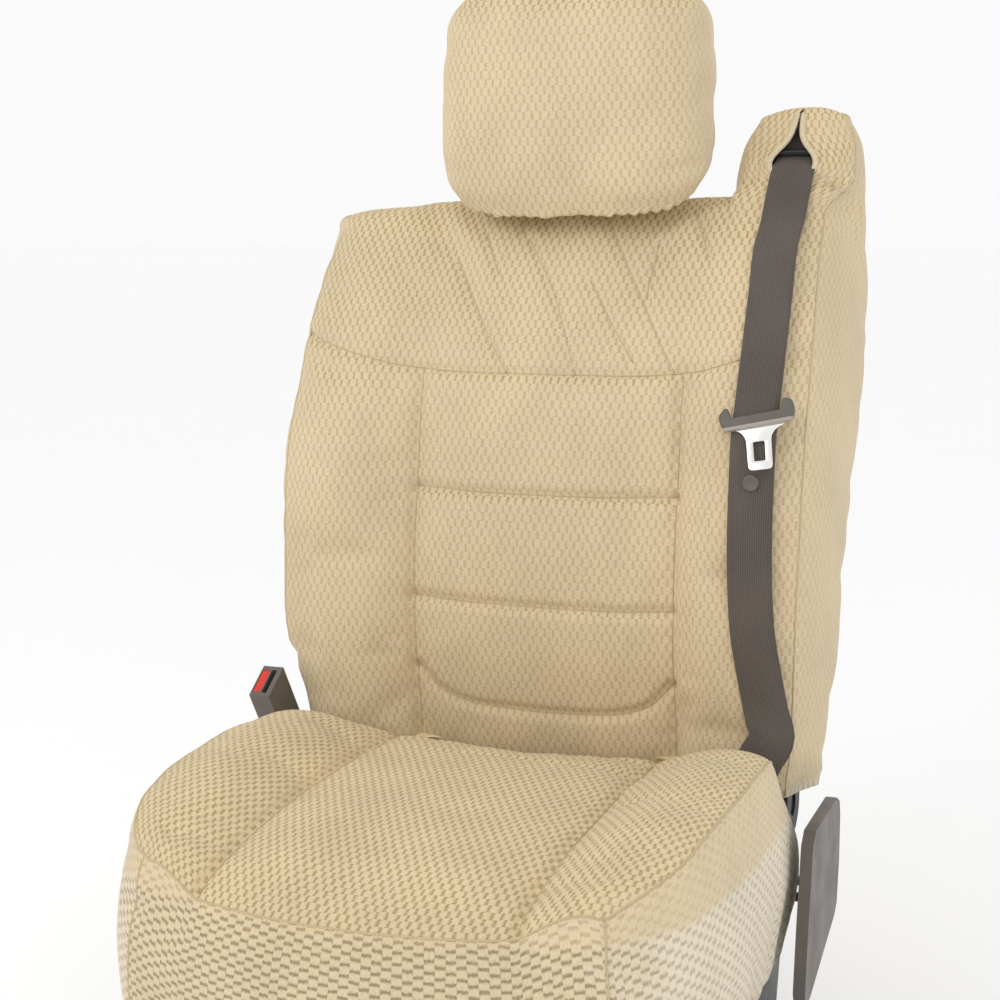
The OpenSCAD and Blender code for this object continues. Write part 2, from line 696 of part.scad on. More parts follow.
module cushion_pan() {
    half_w = plate_x - 1;
    outline = [[-half_w, -150], [-200, -255], [200, -255], [half_w, -150], [half_w, 146],
        [-half_w, 146]];
    color(STEEL) difference() {
        translate([0, 0, 232.5]) linear_extrude(7.5) polygon(outline);
        translate([0, 0, 235]) linear_extrude(10) scale(0.99) polygon(outline);
        for (x = [-150, 0, 150]) for (y = [-170, -50, 70])
            translate([x, y, 225]) cylinder(r = 28, h = 20);
    }
}

module cross_tube(y, z) {
    color(STEEL) difference() {
        x_rod(11, -plate_x + 0.2, plate_x - 0.2, y, z);
        x_rod(9, -plate_x, plate_x, y, z);
    }
}

hook_x = plate_x + plate_t + 2;
module frame_hooks() {
    color(STEEL) both() for (y = [-100, 10, 110]) {
        translate([hook_x, y - 6, cushion_hem_z + 6]) cube([2, 12, 18]);
        translate([hook_x, y - 6, cushion_hem_z + 4]) cube([7, 12, 2]);
        translate([hook_x + 5, y - 6, cushion_hem_z + 4]) cube([2, 12, 10]);
    }
}

// Moulded shield: an outer face and a rim that reaches in
shield_outline = [[82, 240], [72, 176], [80, 162], [100, 163], [232, 203], [243, 212], [252, 256],
    [252, 306], [246, 322], [230, 330], [112, 330], [98, 318]];
module side_shield(top) {
    rim_depth = 12;
    color(PLASTIC) side_plate(shield_x - rim_depth, shield_x) intersection() {
        translate([-200, 0]) square([500, top]);
        difference() {
            polygon(shield_outline);
            translate([170, 255]) scale(0.93) translate([-170, -255]) polygon(shield_outline);
        }
    }
    color(PLASTIC) side_plate(shield_x - shield_wall, shield_x) intersection() {
        translate([-200, 0]) square([500, top]);
        translate([170, 255]) scale(0.99) translate([-170, -255]) polygon(shield_outline);
    }
}

lever_x = 292;
module recline_lever() {
    color(STEEL) x_rod(5, plate_x - 5, lever_x + 2, lever_y, lever_z);
    color(PLASTIC) side_plate(lever_x, lever_x + 14) difference() {
        union() {
            translate([lever_y, lever_z]) circle(r = 15);
            translate([lever_y - 95, lever_z - 1]) circle(r = 12);
            polygon([[lever_y, lever_z + 15], [lever_y, lever_z - 15],
                [lever_y - 95, lever_z - 13], [lever_y - 95, lever_z + 11]]);
        }
        translate([lever_y - 80, lever_z - 4]) square([50, 7]);
    }
}

module upper_rail() {
    color(STEEL) translate([track_half_span, 210, 0]) rotate([90, 0, 0]) linear_extrude(420)
        polygon([[-13, 40], [13, 40], [13, 44], [2, 44], [2, 84], [10, 84], [10, 88],
            [-10, 88], [-10, 84], [-2, 84], [-2, 44], [-13, 44]]);
}

module lower_rail() {
    color(DARK) translate([track_half_span, rail_length / 2, 0]) rotate([90, 0, 0])
        linear_extrude(rail_length)
            polygon([[-20, 34], [20, 34], [20, 60], [5, 60], [5, 57], [17, 57], [17, 37],
                [-17, 37], [-17, 57], [-5, 57], [-5, 60], [-20, 60]]);
}

module rail_feet() {
    color(DARK) both() for (y = [-bolt_half_y, bolt_half_y]) difference() {
        union() {
            translate([track_half_span - 20, y - 26, 0]) cube([bolt_half_x + 40 - track_half_span,
                52, 4]);
            translate([track_half_span - 18, y - 24, 4]) cube([36, 48, 29.7]);
        }
        translate([bolt_half_x, y, -1]) cylinder(r = bolt_hole_r, h = 6);
        translate([track_half_span - 14, y - 30, 4]) cube([28, 60, 25]);
    }
}

bar_pivot_y = -120;
bar_pivot_z = 72;
bar_grip_y = -292;
module track_bar_grip() {
    half_w = track_half_span - 25;
    color(STEEL) {
        x_rod(6, -half_w, half_w, bar_grip_y, bar_pivot_z);
        for (x = [-half_w, half_w]) translate([x, bar_grip_y, bar_pivot_z]) sphere(r = 6);
    }
}

module track_bar_arms() {
    color(STEEL) both() {
        translate([track_half_span - 25, bar_pivot_y + 12, bar_pivot_z]) rotate([90, 0, 0])
            cylinder(r = 6, h = bar_pivot_y + 12 - bar_grip_y - 6.1);
        x_rod(4, track_half_span - 25, track_half_span - 3, bar_pivot_y, bar_pivot_z);
    }
}

// ---- Belt anchor and buckle ----

anchor_x = 208;
module belt_anchor() {
    tab_x = plate_x + plate_t;
    color(STEEL) {
        translate([tab_x + 0.3, 163, anchor_z - 16]) difference() {
            cube([3, 38, 30]);
            translate([-1, anchor_y - 163, 16]) rotate([0, 90, 0]) cylinder(r = 6.05, h = 6);
        }
        translate([anchor_x, 161.5, anchor_z - 16]) difference() {
            cube([55, 3, 50.5]);
            translate([4, -1, 36]) cube([web_w + 1, 5, 6]);
        }
    }
    color(DARK) {
        x_rod(6, plate_x - 8, tab_x + 3.5, anchor_y, anchor_z);
        translate([tab_x + 3.5, anchor_y, anchor_z]) rotate([0, 90, 0])
            cylinder(r = 10, h = 6, $fn = 6);
    }
}

module buckle_anchor_bolt() {
    color(DARK) {
        x_rod(6, buckle_x - 3, -plate_x + 8, buckle_y, buckle_z);
        translate([buckle_x - 7, buckle_y, buckle_z]) rotate([0, 90, 0])
            cylinder(r = 10, h = 5, $fn = 6);
        x_rod(10, buckle_x + 1.8, -plate_x - plate_t - 0.2, buckle_y, buckle_z);
    }
}

// Local frame of the buckle: Z runs up the stalk and Y is across its width
buckle_x = -300;
buckle_len = 80;
buckle_neck = 14;
slot_x = 3.5;
slot_t = 6;
module at_buckle() {
    translate([buckle_x, buckle_y, buckle_z]) rotate([buckle_lean, 0, 0]) children();
}

module buckle_stalk() {
    color(STEEL) at_buckle() translate([-1.5, 0, 0]) rotate([90, 0, 90]) linear_extrude(3)
        difference() {
            union() {
                circle(r = 13);
                translate([-11, 0]) square([22, buckle_reach - buckle_len - buckle_neck - 0.3]);
            }
            circle(r = 6.06);
        }
}

module buckle_housing() {
    end = buckle_reach;
    x_lo = -buckle_t / 2;
    color(PLASTIC) at_buckle() difference() {
        union() {
            translate([x_lo, -buckle_w / 2, end - buckle_len]) cube([buckle_t, buckle_w, buckle_len]);
            translate([x_lo + 4, -buckle_w / 2 + 7, end - buckle_len - buckle_neck])
                cube([buckle_t - 8, buckle_w - 14, buckle_neck]);
        }
        translate([slot_x - slot_t / 2, -17, end - 46]) cube([slot_t, 34, 60]);
        translate([x_lo + 1.6, -16, end - 24]) cube([slot_x - slot_t / 2 - x_lo - 3.4, 32, 40]);
    }
}

module buckle_button() {
    x_lo = -buckle_t / 2 + 1.9;
    x_hi = slot_x - slot_t / 2 - 2.1;
    color("#c9251c") at_buckle() translate([x_lo, -15.7, buckle_reach - 17])
        cube([x_hi - x_lo, 31.4, 16.5]);
}

// ---- Draw ----

both() lower_rail();  // lower_rails
rail_feet();
both() upper_rail();  // upper_rails
mirror([1, 0, 0]) side_frame();  // side_frame_left
side_frame();  // side_frame_right
cross_tube(-180, 130);  // front_cross_tube
cross_tube(150, 150);  // rear_cross_tube
cushion_pan();
cushion_foam();
cushion_insert_cover();
cushion_bolster_cover(-1);  // cushion_bolster_cover_left
cushion_bolster_cover(1);  // cushion_bolster_cover_right
cushion_boxing_cover();
cushion_rear_flap();
cushion_hem_elastic();
frame_hooks();
mirror([1, 0, 0]) side_shield(246);  // side_shield_left
side_shield(340);  // side_shield_right
recliner_housings();
recliner_shaft();
recliner_pivots();
recline_lever();
track_bar_grip();
track_bar_arms();
belt_anchor();
lower_webbing();
buckle_anchor_bolt();
buckle_stalk();
buckle_housing();
buckle_button();
back_hinge_plates();
back_side_tube();
back_upper_tube();
tower_column();
suspension_wires();
post_bushings();
post_sleeves();
height_button();
back_foam();
back_insert_cover();
back_bolster_cover_left();
back_bolster_cover_right();
back_yoke_cover();
back_side_cover_left();
back_side_cover_right();
back_rear_cover();
back_crown_cover();
back_hem_elastic();
tower_sleeve();
belt_guide();
guide_roller();
belt_retractor();
shoulder_webbing();
latch_shell();
latch_tongue();
headrest_posts();
headrest_armature();
headrest_foam();
headrest_cover();
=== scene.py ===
"""Looks of the seat cover set: tufted velour covers on a truck seat with a belt tower.

Metres, in the CAD frame: +X to the belt tower, -Y to the front of the seat, +Z up.
"""

import math

import bmesh
import bpy
import numpy as np
from mathutils import Matrix, Vector
from mathutils.bvhtree import BVHTree


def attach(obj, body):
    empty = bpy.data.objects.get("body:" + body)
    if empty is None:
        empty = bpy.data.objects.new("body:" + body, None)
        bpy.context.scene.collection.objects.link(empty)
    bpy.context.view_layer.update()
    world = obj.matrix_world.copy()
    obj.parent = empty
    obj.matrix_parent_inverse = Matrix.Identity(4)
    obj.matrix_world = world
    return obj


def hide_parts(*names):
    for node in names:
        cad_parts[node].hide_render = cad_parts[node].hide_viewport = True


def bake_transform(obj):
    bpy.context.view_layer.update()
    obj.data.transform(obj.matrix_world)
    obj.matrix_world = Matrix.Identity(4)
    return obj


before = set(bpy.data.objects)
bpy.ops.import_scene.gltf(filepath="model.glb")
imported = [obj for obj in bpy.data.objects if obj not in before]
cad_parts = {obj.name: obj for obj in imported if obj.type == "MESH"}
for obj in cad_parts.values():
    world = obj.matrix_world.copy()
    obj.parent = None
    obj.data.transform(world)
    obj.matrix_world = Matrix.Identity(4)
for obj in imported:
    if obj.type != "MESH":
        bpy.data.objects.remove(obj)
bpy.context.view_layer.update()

SCENE = bpy.context.scene

# ---- Camera, light and floor ----

CAMERA_AT = Vector((0.631, -1.666, 0.908))
CAMERA_AZIMUTH = math.radians(20)
CAMERA_ELEVATION = math.radians(8)
CAMERA_LENS = 67.6


def add_camera():
    data = bpy.data.cameras.new("camera")
    data.lens = CAMERA_LENS
    camera = bpy.data.objects.new("camera", data)
    SCENE.collection.objects.link(camera)
    level = math.cos(CAMERA_ELEVATION)
    back = Vector((math.sin(CAMERA_AZIMUTH) * level, -math.cos(CAMERA_AZIMUTH) * level,
                   math.sin(CAMERA_ELEVATION)))
    camera.location = CAMERA_AT
    camera.rotation_mode = "QUATERNION"
    camera.rotation_quaternion = (-back).to_track_quat("-Z", "Y")
    SCENE.camera = camera


def add_area_light(name, at, towards, size, power, color=(1, 1, 1)):
    data = bpy.data.lights.new(name, "AREA")
    data.shape = "DISK"
    data.size = size
    data.energy = power
    data.color = color
    light = bpy.data.objects.new(name, data)
    SCENE.collection.objects.link(light)
    light.location = at
    light.rotation_mode = "QUATERNION"
    light.rotation_quaternion = (Vector(towards) - Vector(at)).to_track_quat("-Z", "Y")


def add_studio():
    world = bpy.data.worlds.new("studio")
    world.use_nodes = True
    shade = world.node_tree.nodes["Background"]
    shade.inputs["Color"].default_value = (1.0, 1.0, 1.0, 1)
    shade.inputs["Strength"].default_value = 0.96
    SCENE.world = world
    SCENE.view_settings.view_transform = "Standard"
    middle = (0, 0, 0.65)
    add_area_light("key", (-1.3, -2.4, 2.3), middle, 1.4, 19, (1, 0.985, 0.96))
    add_area_light("fill", (1.3, -2.5, 1.7), middle, 1.4, 7)
    bpy.ops.mesh.primitive_plane_add(size=400, location=(0, 0, 0))
    floor = bpy.context.object
    floor.name = "floor"
    floor.data.materials.append(plain_floor())


# ---- Materials ----


class Net:
    """A material's node tree, with short calls for the nodes that the recipes use."""

    def __init__(self, name, **sockets):
        self.material = bpy.data.materials.new(name)
        self.material.use_nodes = True
        self.tree = self.material.node_tree
        self.shader = self.tree.nodes["Principled BSDF"]
        for socket, value in sockets.items():
            self.shader.inputs[socket.replace("_", " ")].default_value = value

    def node(self, kind, **settings):
        made = self.tree.nodes.new(kind)
        for key, value in settings.items():
            setattr(made, key, value)
        return made

    def link(self, value, socket):
        if isinstance(value, bpy.types.NodeSocket):
            self.tree.links.new(value, socket)
        else:
            socket.default_value = value

    def math(self, operation, a, b=0.0, c=0.0, clamp=False):
        made = self.node("ShaderNodeMath", operation=operation, use_clamp=clamp)
        for value, socket in zip((a, b, c), made.inputs):
            self.link(value, socket)
        return made.outputs[0]

    def ramp(self, value, low, high, to_low=0.0, to_high=1.0):
        made = self.node("ShaderNodeMapRange", interpolation_type="SMOOTHSTEP")
        for number, socket in zip((value, low, high, to_low, to_high), made.inputs):
            self.link(number, socket)
        return made.outputs[0]

    def mix(self, share, a, b, blend="MIX"):
        made = self.node("ShaderNodeMix", data_type="RGBA", blend_type=blend)
        self.link(share, made.inputs["Factor"])
        self.link(a, made.inputs[6])
        self.link(b, made.inputs[7])
        return made.outputs[2]

    def noise(self, where, scale, detail=2.0, stretch=(1, 1, 1)):
        mapping = self.node("ShaderNodeMapping")
        self.link(where, mapping.inputs["Vector"])
        mapping.inputs["Scale"].default_value = stretch
        made = self.node("ShaderNodeTexNoise")
        self.link(mapping.outputs[0], made.inputs["Vector"])
        made.inputs["Scale"].default_value = scale
        made.inputs["Detail"].default_value = detail
        return made.outputs["Fac"]

    def place(self):
        return self.node("ShaderNodeTexCoord").outputs["Object"]

    def cloth(self):
        return self.node("ShaderNodeUVMap", uv_map="cloth").outputs[0]

    def split(self, vector):
        made = self.node("ShaderNodeSeparateXYZ")
        self.link(vector, made.inputs[0])
        return made.outputs

    def bump(self, height, distance, strength=1.0):
        made = self.node("ShaderNodeBump")
        made.inputs["Distance"].default_value = distance
        made.inputs["Strength"].default_value = strength
        self.link(height, made.inputs["Height"])
        return made.outputs[0]

    def finish(self, color=None, rough=None, normal=None):
        for value, socket in ((color, "Base Color"), (rough, "Roughness"),
                              (normal, "Normal")):
            if value is not None:
                self.link(value, self.shader.inputs[socket])
        return self.material


# Pile and the gaps between its tufts: on upright panels, on top, and on the boxing.
# The gap is the cloth's tan ground, darkened as painted shade in the hollows between tufts.
# The top, side and boxing colours are painted light: a tint on faces that point up, a paler
# pile on faces that point sideways as painted sheen, and darker gaps on the boxing as painted
# shadow under each tuft.
PILE = (0.640, 0.522, 0.345, 1)
PILE_TOP_PAINTED_LIGHT = (0.675, 0.547, 0.332, 1)
PILE_SIDE_PAINTED_SHEEN = (0.710, 0.628, 0.492, 1)
# Tan ground between the tufts, darkened as painted shade in the hollows
GAP_TAN_AND_PAINTED_SHADE = (0.360, 0.245, 0.100, 1)
GAP_BOXING_PAINTED_SHADOW = (0.300, 0.230, 0.135, 1)
TUFT_W = 0.0090
TUFT_H = 0.0086
BOXING_TOP = 0.348


def velour():
    """Rows of rounded tufts, each row half a tuft along from the next; the colours also carry
    painted light, sheen and shadow by the way each face points.
    """
    net = Net("velour", Roughness=0.85, Sheen_Weight=0.22, Sheen_Roughness=0.5,
              Sheen_Tint=(1.0, 0.96, 0.88, 1), Specular_IOR_Level=0.12)
    cloth, place = net.cloth(), net.place()
    along, up, _ = net.split(cloth)
    sway = net.math("SUBTRACT", net.noise(cloth, 60, 2.0), 0.5)
    along = net.math("MULTIPLY_ADD", sway, 0.0035, along)
    up = net.math("MULTIPLY_ADD", sway, -0.0020, up)
    row_at = net.math("DIVIDE", up, TUFT_H)
    half_drop = net.math("MULTIPLY", net.math("FLOORED_MODULO", net.math("FLOOR", row_at), 2.0),
                         0.5)
    column_at = net.math("ADD", net.math("DIVIDE", along, TUFT_W), half_drop)
    across = net.math("ABSOLUTE", net.math("SUBTRACT", net.math("FRACT", column_at), 0.5))
    over = net.math("ABSOLUTE", net.math("SUBTRACT", net.math("FRACT", row_at), 0.5))
    edge = net.math("ADD", net.math("POWER", net.math("DIVIDE", across, 0.420), 2.0),
                    net.math("POWER", net.math("DIVIDE", over, 0.74), 6.0))
    fuzz = net.noise(cloth, 420, 3.0)
    inside = net.math("MULTIPLY_ADD", net.math("SUBTRACT", fuzz, 0.5), 1.2,
                      net.math("SUBTRACT", 1.0, edge))
    tuft = net.ramp(inside, -0.40, 0.80)

    # Painted light: faces pointing up get a tinted pile and stronger gaps, faces pointing sideways
    # a paler pile as painted sheen and weaker gaps, and the boxing darker gaps as painted shadow
    # under each tuft
    normal_x, _, normal_z = net.split(net.node("ShaderNodeNewGeometry").outputs["Normal"])
    top = net.ramp(normal_z, 0.2, 0.8)
    side = net.ramp(net.math("ABSOLUTE", normal_x), 0.45, 0.9)
    below = net.ramp(net.split(place)[2], BOXING_TOP, BOXING_TOP - 0.012)
    boxing = net.math("MULTIPLY", below, net.math("SUBTRACT", 1.0, top))
    painted_light_contrast = net.math("MULTIPLY_ADD", top, 0.40, 0.44)
    painted_light_contrast = net.math("MULTIPLY_ADD", boxing, 0.55, painted_light_contrast, clamp=True)
    painted_light_contrast = net.math("MULTIPLY", painted_light_contrast, net.math("MULTIPLY_ADD", side, -0.45, 1.0))

    # The pile and gap colours take the painted light, sheen and shadow of the masks above
    pile = net.mix(top, PILE, PILE_TOP_PAINTED_LIGHT)
    pile = net.mix(net.math("MULTIPLY", side, below), pile, PILE_SIDE_PAINTED_SHEEN)
    gap = net.mix(painted_light_contrast, pile, net.mix(boxing, GAP_TAN_AND_PAINTED_SHADE, GAP_BOXING_PAINTED_SHADOW))
    color = net.mix(tuft, gap, pile)
    brushed = net.noise(place, 13, 3.0, (1, 1, 0.6))
    shade = net.math("ADD", net.ramp(fuzz, 0.25, 0.75, 0.93, 1.06),
                     net.ramp(brushed, 0.3, 0.7, -0.05, 0.05))
    grey = net.node("ShaderNodeCombineColor")
    for socket in grey.inputs:
        net.link(shade, socket)
    color = net.mix(1.0, color, grey.outputs[0], "MULTIPLY")
    height = net.math("ADD", net.math("SQRT", net.math("MAXIMUM", inside, 0.0)),
                      net.math("MULTIPLY", fuzz, 0.35))
    strength = net.math("MULTIPLY_ADD", painted_light_contrast, 0.7, 0.1)
    bump = net.node("ShaderNodeBump")
    bump.inputs["Distance"].default_value = 0.0014
    net.link(strength, bump.inputs["Strength"])
    net.link(height, bump.inputs["Height"])
    return net.finish(color, normal=bump.outputs[0])


def knitted(name, color, dark):
    """Bound edges and seams: fine ribs across the strip."""
    net = Net(name, Roughness=0.85, Sheen_Weight=0.25, Specular_IOR_Level=0.15)
    along, _, _ = net.split(net.cloth())
    rib = net.math("SINE", net.math("MULTIPLY", along, 2 * math.pi / 0.0016))
    fibre = net.noise(net.place(), 900, 2.0)
    share = net.math("MULTIPLY_ADD", rib, 0.25, net.ramp(fibre, 0.3, 0.7, 0.2, 0.8))
    return net.finish(net.mix(share, dark, color), normal=net.bump(share, 0.0004, 0.8))


def webbing():
    """Ribbed belt webbing: warp ribs along it and a fine weft across."""
    net = Net("webbing", Roughness=0.62, Sheen_Weight=0.18, Sheen_Roughness=0.4,
              Specular_IOR_Level=0.35)
    across, along, _ = net.split(net.cloth())
    rib = net.math("SINE", net.math("MULTIPLY", across, 2 * math.pi / 0.0023))
    weft = net.math("SINE", net.math("MULTIPLY", along, 2 * math.pi / 0.0011))
    fibre = net.noise(net.cloth(), 700, 2.0, (1, 0.2, 1))
    height = net.math("ADD", net.math("MULTIPLY_ADD", weft, 0.25, rib),
                      net.math("MULTIPLY", fibre, 0.8))
    share = net.ramp(height, -1.1, 1.8)
    worn = net.ramp(net.noise(net.place(), 14, 3.0), 0.35, 0.7, 0.0, 0.35)
    color = net.mix(share, (0.060, 0.048, 0.041, 1), (0.125, 0.103, 0.088, 1))
    color = net.mix(worn, color, (0.150, 0.126, 0.108, 1))
    return net.finish(color, normal=net.bump(height, 0.0003, 0.9))


def moulded(name, color, rough, grain=0.00018):
    """Moulded plastic with a fine grain and slightly shinier worn places."""
    net = Net(name, Specular_IOR_Level=0.4)
    grains = net.noise(net.place(), 1100, 3.0)
    worn = net.noise(net.place(), 22, 4.0)
    tint = net.ramp(worn, 0.3, 0.75, 0.0, 0.35)
    lighter = tuple(min(1, 1.35 * c) for c in color[:3]) + (1,)
    return net.finish(net.mix(tint, color, lighter), net.ramp(worn, 0.3, 0.7, rough, rough - 0.12),
                      net.bump(grains, grain, 0.8))


def painted(name, color, rough):
    """Painted steel: orange peel and paler, duller dust."""
    net = Net(name, Specular_IOR_Level=0.5)
    peel = net.noise(net.place(), 260, 2.0)
    dust = net.noise(net.place(), 18, 5.0)
    share = net.ramp(dust, 0.35, 0.75, 0.0, 0.5)
    paler = tuple(min(1, 1.9 * c + 0.01) for c in color[:3]) + (1,)
    return net.finish(net.mix(share, color, paler), net.ramp(dust, 0.3, 0.7, rough, rough + 0.2),
                      net.bump(peel, 0.0002, 0.5))


def polished(name, color, rough):
    """Plated steel with faint handling scratches."""
    net = Net(name, Metallic=1.0)
    scratch = net.noise(net.place(), 380, 4.0, (1, 1, 0.05))
    smear = net.noise(net.place(), 45, 3.0)
    duller = tuple(0.8 * c for c in color[:3]) + (1,)
    return net.finish(net.mix(net.ramp(smear, 0.4, 0.7), color, duller),
                      net.ramp(smear, 0.3, 0.7, rough, rough + 0.12),
                      net.bump(scratch, 0.00006, 0.5))


def foam_block():
    net = Net("foam", Roughness=0.95, Specular_IOR_Level=0.1)
    cells = net.noise(net.place(), 900, 3.0)
    aged = net.noise(net.place(), 12, 3.0)
    color = net.mix(net.ramp(aged, 0.3, 0.7), (0.80, 0.70, 0.42, 1), (0.66, 0.53, 0.27, 1))
    return net.finish(color, normal=net.bump(cells, 0.0006, 0.9))


def plain_floor():
    net = Net("floor", Roughness=0.7, Specular_IOR_Level=0.1)
    return net.finish(net.mix(net.noise(net.place(), 3, 2.0), (0.985, 0.985, 0.985, 1),
                              (0.995, 0.995, 0.995, 1)))


MATERIALS = {
    "cover_velour": velour(),
    # Seam cords: stitching in a darker tan that paints the shade of the seam grooves and pleat
    # folds
    "cover_edge": knitted("cover_edge", (0.64, 0.52, 0.33, 1), (0.44, 0.33, 0.17, 1)),
    "cover_binding": knitted("cover_binding", (0.74, 0.64, 0.46, 1), (0.56, 0.46, 0.29, 1)),
    "foam": foam_block(),
    "webbing": webbing(),
    "grey_plastic": moulded("grey_plastic", (0.115, 0.100, 0.088, 1), 0.52),
    "worn_plastic": moulded("worn_plastic", (0.330, 0.290, 0.262, 1), 0.34),
    "dark_plastic": moulded("dark_plastic", (0.022, 0.021, 0.020, 1), 0.45),
    "red_button": moulded("red_button", (0.62, 0.028, 0.018, 1), 0.3, 0.00004),
    "frame_steel": painted("frame_steel", (0.030, 0.030, 0.032, 1), 0.42),
    "track_steel": painted("track_steel", (0.018, 0.018, 0.019, 1), 0.38),
    "bright_steel": polished("bright_steel", (0.86, 0.85, 0.83, 1), 0.16),
}

# ---- Meshes ----


def curve(keys, values, at):
    """A smooth curve through given values, read at the places in at."""
    keys, values, at = (np.asarray(a, float) for a in (keys, values, at))
    slopes = np.gradient(values, keys, axis=0)
    i = np.clip(np.searchsorted(keys, at) - 1, 0, len(keys) - 2)
    step = keys[i + 1] - keys[i]
    t = (at - keys[i]) / step
    if values.ndim > 1:
        t, step = t[:, None], step[:, None]
    return ((2 * t**3 - 3 * t**2 + 1) * values[i] + (t**3 - 2 * t**2 + t) * step * slopes[i]
            + (3 * t**2 - 2 * t**3) * values[i + 1] + (t**3 - t**2) * step * slopes[i + 1])


def smooth(value, low, high):
    t = np.clip((value - low) / (high - low), 0, 1)
    return t * t * (3 - 2 * t)


def soft_noise(at, size, seed):
    """Smooth noise from -1 to 1 over points (n, k), with lumps of that size."""
    at = np.atleast_2d(at) / size
    lattice = np.random.default_rng(seed).uniform(-1, 1, (37,) * at.shape[1])
    low = np.floor(at).astype(int)
    t = at - low
    t = t * t * (3 - 2 * t)
    total = np.zeros(len(at))
    for corner in range(2 ** at.shape[1]):
        bits = np.array([(corner >> k) & 1 for k in range(at.shape[1])])
        weight = np.prod(np.where(bits, t, 1 - t), axis=1)
        total += weight * lattice[tuple(((low + bits) % 37).T)]
    return total


def read_row(table, at):
    """The values of a table at one place of its first column."""
    return curve(table[:, 0], table[:, 1:], np.array([at]))[0]


def walked_along(points):
    """Distance walked to each point of a line."""
    return np.concatenate([[0], np.cumsum(np.linalg.norm(np.diff(points, axis=0), axis=1))])


class Patch:
    """A grid of points (rows, columns, 3) with cloth coordinates and pins for the sewing."""

    def __init__(self, points, cloth, pins):
        self.points, self.cloth, self.pins = points, cloth, pins


def pinned(grid, rows=(), columns=()):
    """Pins at some rows and columns of a grid."""
    pins = np.zeros(grid.shape[:2])
    pins[list(rows)] = 1
    pins[:, list(columns)] = 1
    return pins


def cloth_from(points, middle, up, start=0.0):
    """Cloth coordinates of a grid: distance along each row from a middle column, and up."""
    steps = np.linalg.norm(np.diff(points, axis=1), axis=2)
    along = np.concatenate([np.zeros((len(points), 1)), np.cumsum(steps, axis=1)], axis=1)
    along = along - along[:, [middle]]
    height = start + walked_along(points[:, up])
    return np.stack([along, np.broadcast_to(height[:, None], along.shape)], axis=2)


def new_object(name, data, slot):
    made = bpy.data.objects.new(name, data)
    SCENE.collection.objects.link(made)
    data.materials.append(MATERIALS[slot])
    return made


def sew(name, patches, slot):
    """One welded mesh from grids that share their edges."""
    points = np.concatenate([p.points.reshape(-1, 3) for p in patches])
    cloth = np.concatenate([p.cloth.reshape(-1, 2) for p in patches])
    pins = np.concatenate([p.pins.ravel() for p in patches])
    quads, first = [], 0
    for p in patches:
        rows, cols = p.points.shape[:2]
        at = first + np.arange(rows * cols).reshape(rows, cols)
        quads.append(np.stack([at[:-1, :-1], at[:-1, 1:], at[1:, 1:], at[1:, :-1]],
                              axis=2).reshape(-1, 4))
        first += rows * cols
    quads = np.concatenate(quads)
    _, kept, welded = np.unique(np.round(points, 5), axis=0, return_index=True,
                                return_inverse=True)
    welded = welded.ravel()
    faces, corners = [], []
    for quad in quads:
        ring = []
        for corner in quad:
            if not ring or welded[corner] != welded[ring[-1]]:
                ring.append(corner)
        if len(ring) > 1 and welded[ring[0]] == welded[ring[-1]]:
            ring.pop()
        if len(ring) > 2:
            faces.append([int(welded[c]) for c in ring])
            corners.extend(ring)
    data = bpy.data.meshes.new(name)
    data.from_pydata(points[kept].tolist(), [], faces)
    layer = data.uv_layers.new(name="cloth")
    layer.data.foreach_set("uv", cloth[corners].astype(np.float32).ravel())
    data.polygons.foreach_set("use_smooth", [True] * len(data.polygons))
    made = new_object(name, data, slot)
    strength = np.zeros(len(kept))
    np.maximum.at(strength, welded, pins)
    group = made.vertex_groups.new(name="sewn")
    for index in np.nonzero(strength)[0]:
        group.add([int(index)], float(strength[index]), "REPLACE")
    face_outwards(made)
    return made


def face_outwards(made):
    mesh = bmesh.new()
    mesh.from_mesh(made.data)
    bmesh.ops.recalc_face_normals(mesh, faces=mesh.faces)
    mesh.to_mesh(made.data)
    mesh.free()


def read_points(made):
    flat = np.zeros(len(made.data.vertices) * 3)
    made.data.vertices.foreach_get("co", flat)
    return flat.reshape(-1, 3)


def read_normals(made):
    flat = np.zeros(len(made.data.vertices) * 3)
    made.data.vertices.foreach_get("normal", flat)
    return flat.reshape(-1, 3)


def write_points(made, points):
    made.data.vertices.foreach_set("co", points.astype(np.float32).ravel())
    made.data.update()


def apply_modifiers(made):
    graph = bpy.context.evaluated_depsgraph_get()
    data = bpy.data.meshes.new_from_object(made.evaluated_get(graph))
    made.modifiers.clear()
    made.data = data


def inflate(made, pressure=3.0, frames=14, most=0.010, slack=0.012):
    """Fills a sewn cover by cloth simulation, held at its sewn points."""
    start = read_points(made)
    cloth = made.modifiers.new("cloth", "CLOTH")
    settings = cloth.settings
    settings.quality = 5
    settings.mass = 0.35
    settings.tension_stiffness = settings.compression_stiffness = 22
    settings.shear_stiffness = 8
    settings.bending_stiffness = 1.2
    settings.vertex_group_mass = "sewn"
    settings.pin_stiffness = 1.0
    settings.use_pressure = True
    settings.uniform_pressure_force = pressure
    settings.shrink_min = -slack
    settings.effector_weights.gravity = 0
    cloth.collision_settings.use_collision = False
    cloth.point_cache.frame_start, cloth.point_cache.frame_end = 1, frames
    for step in range(1, frames + 1):
        SCENE.frame_set(step)
    apply_modifiers(made)
    SCENE.frame_set(1)
    moved = read_points(made) - start
    length = np.linalg.norm(moved, axis=1, keepdims=True)
    eased = most * np.tanh(length / most)
    write_points(made, start + moved * eased / np.maximum(length, 1e-9))


def subdivide(made, levels=1):
    made.modifiers.new("smooth", "SUBSURF").levels = levels
    made.modifiers["smooth"].render_levels = levels
    apply_modifiers(made)


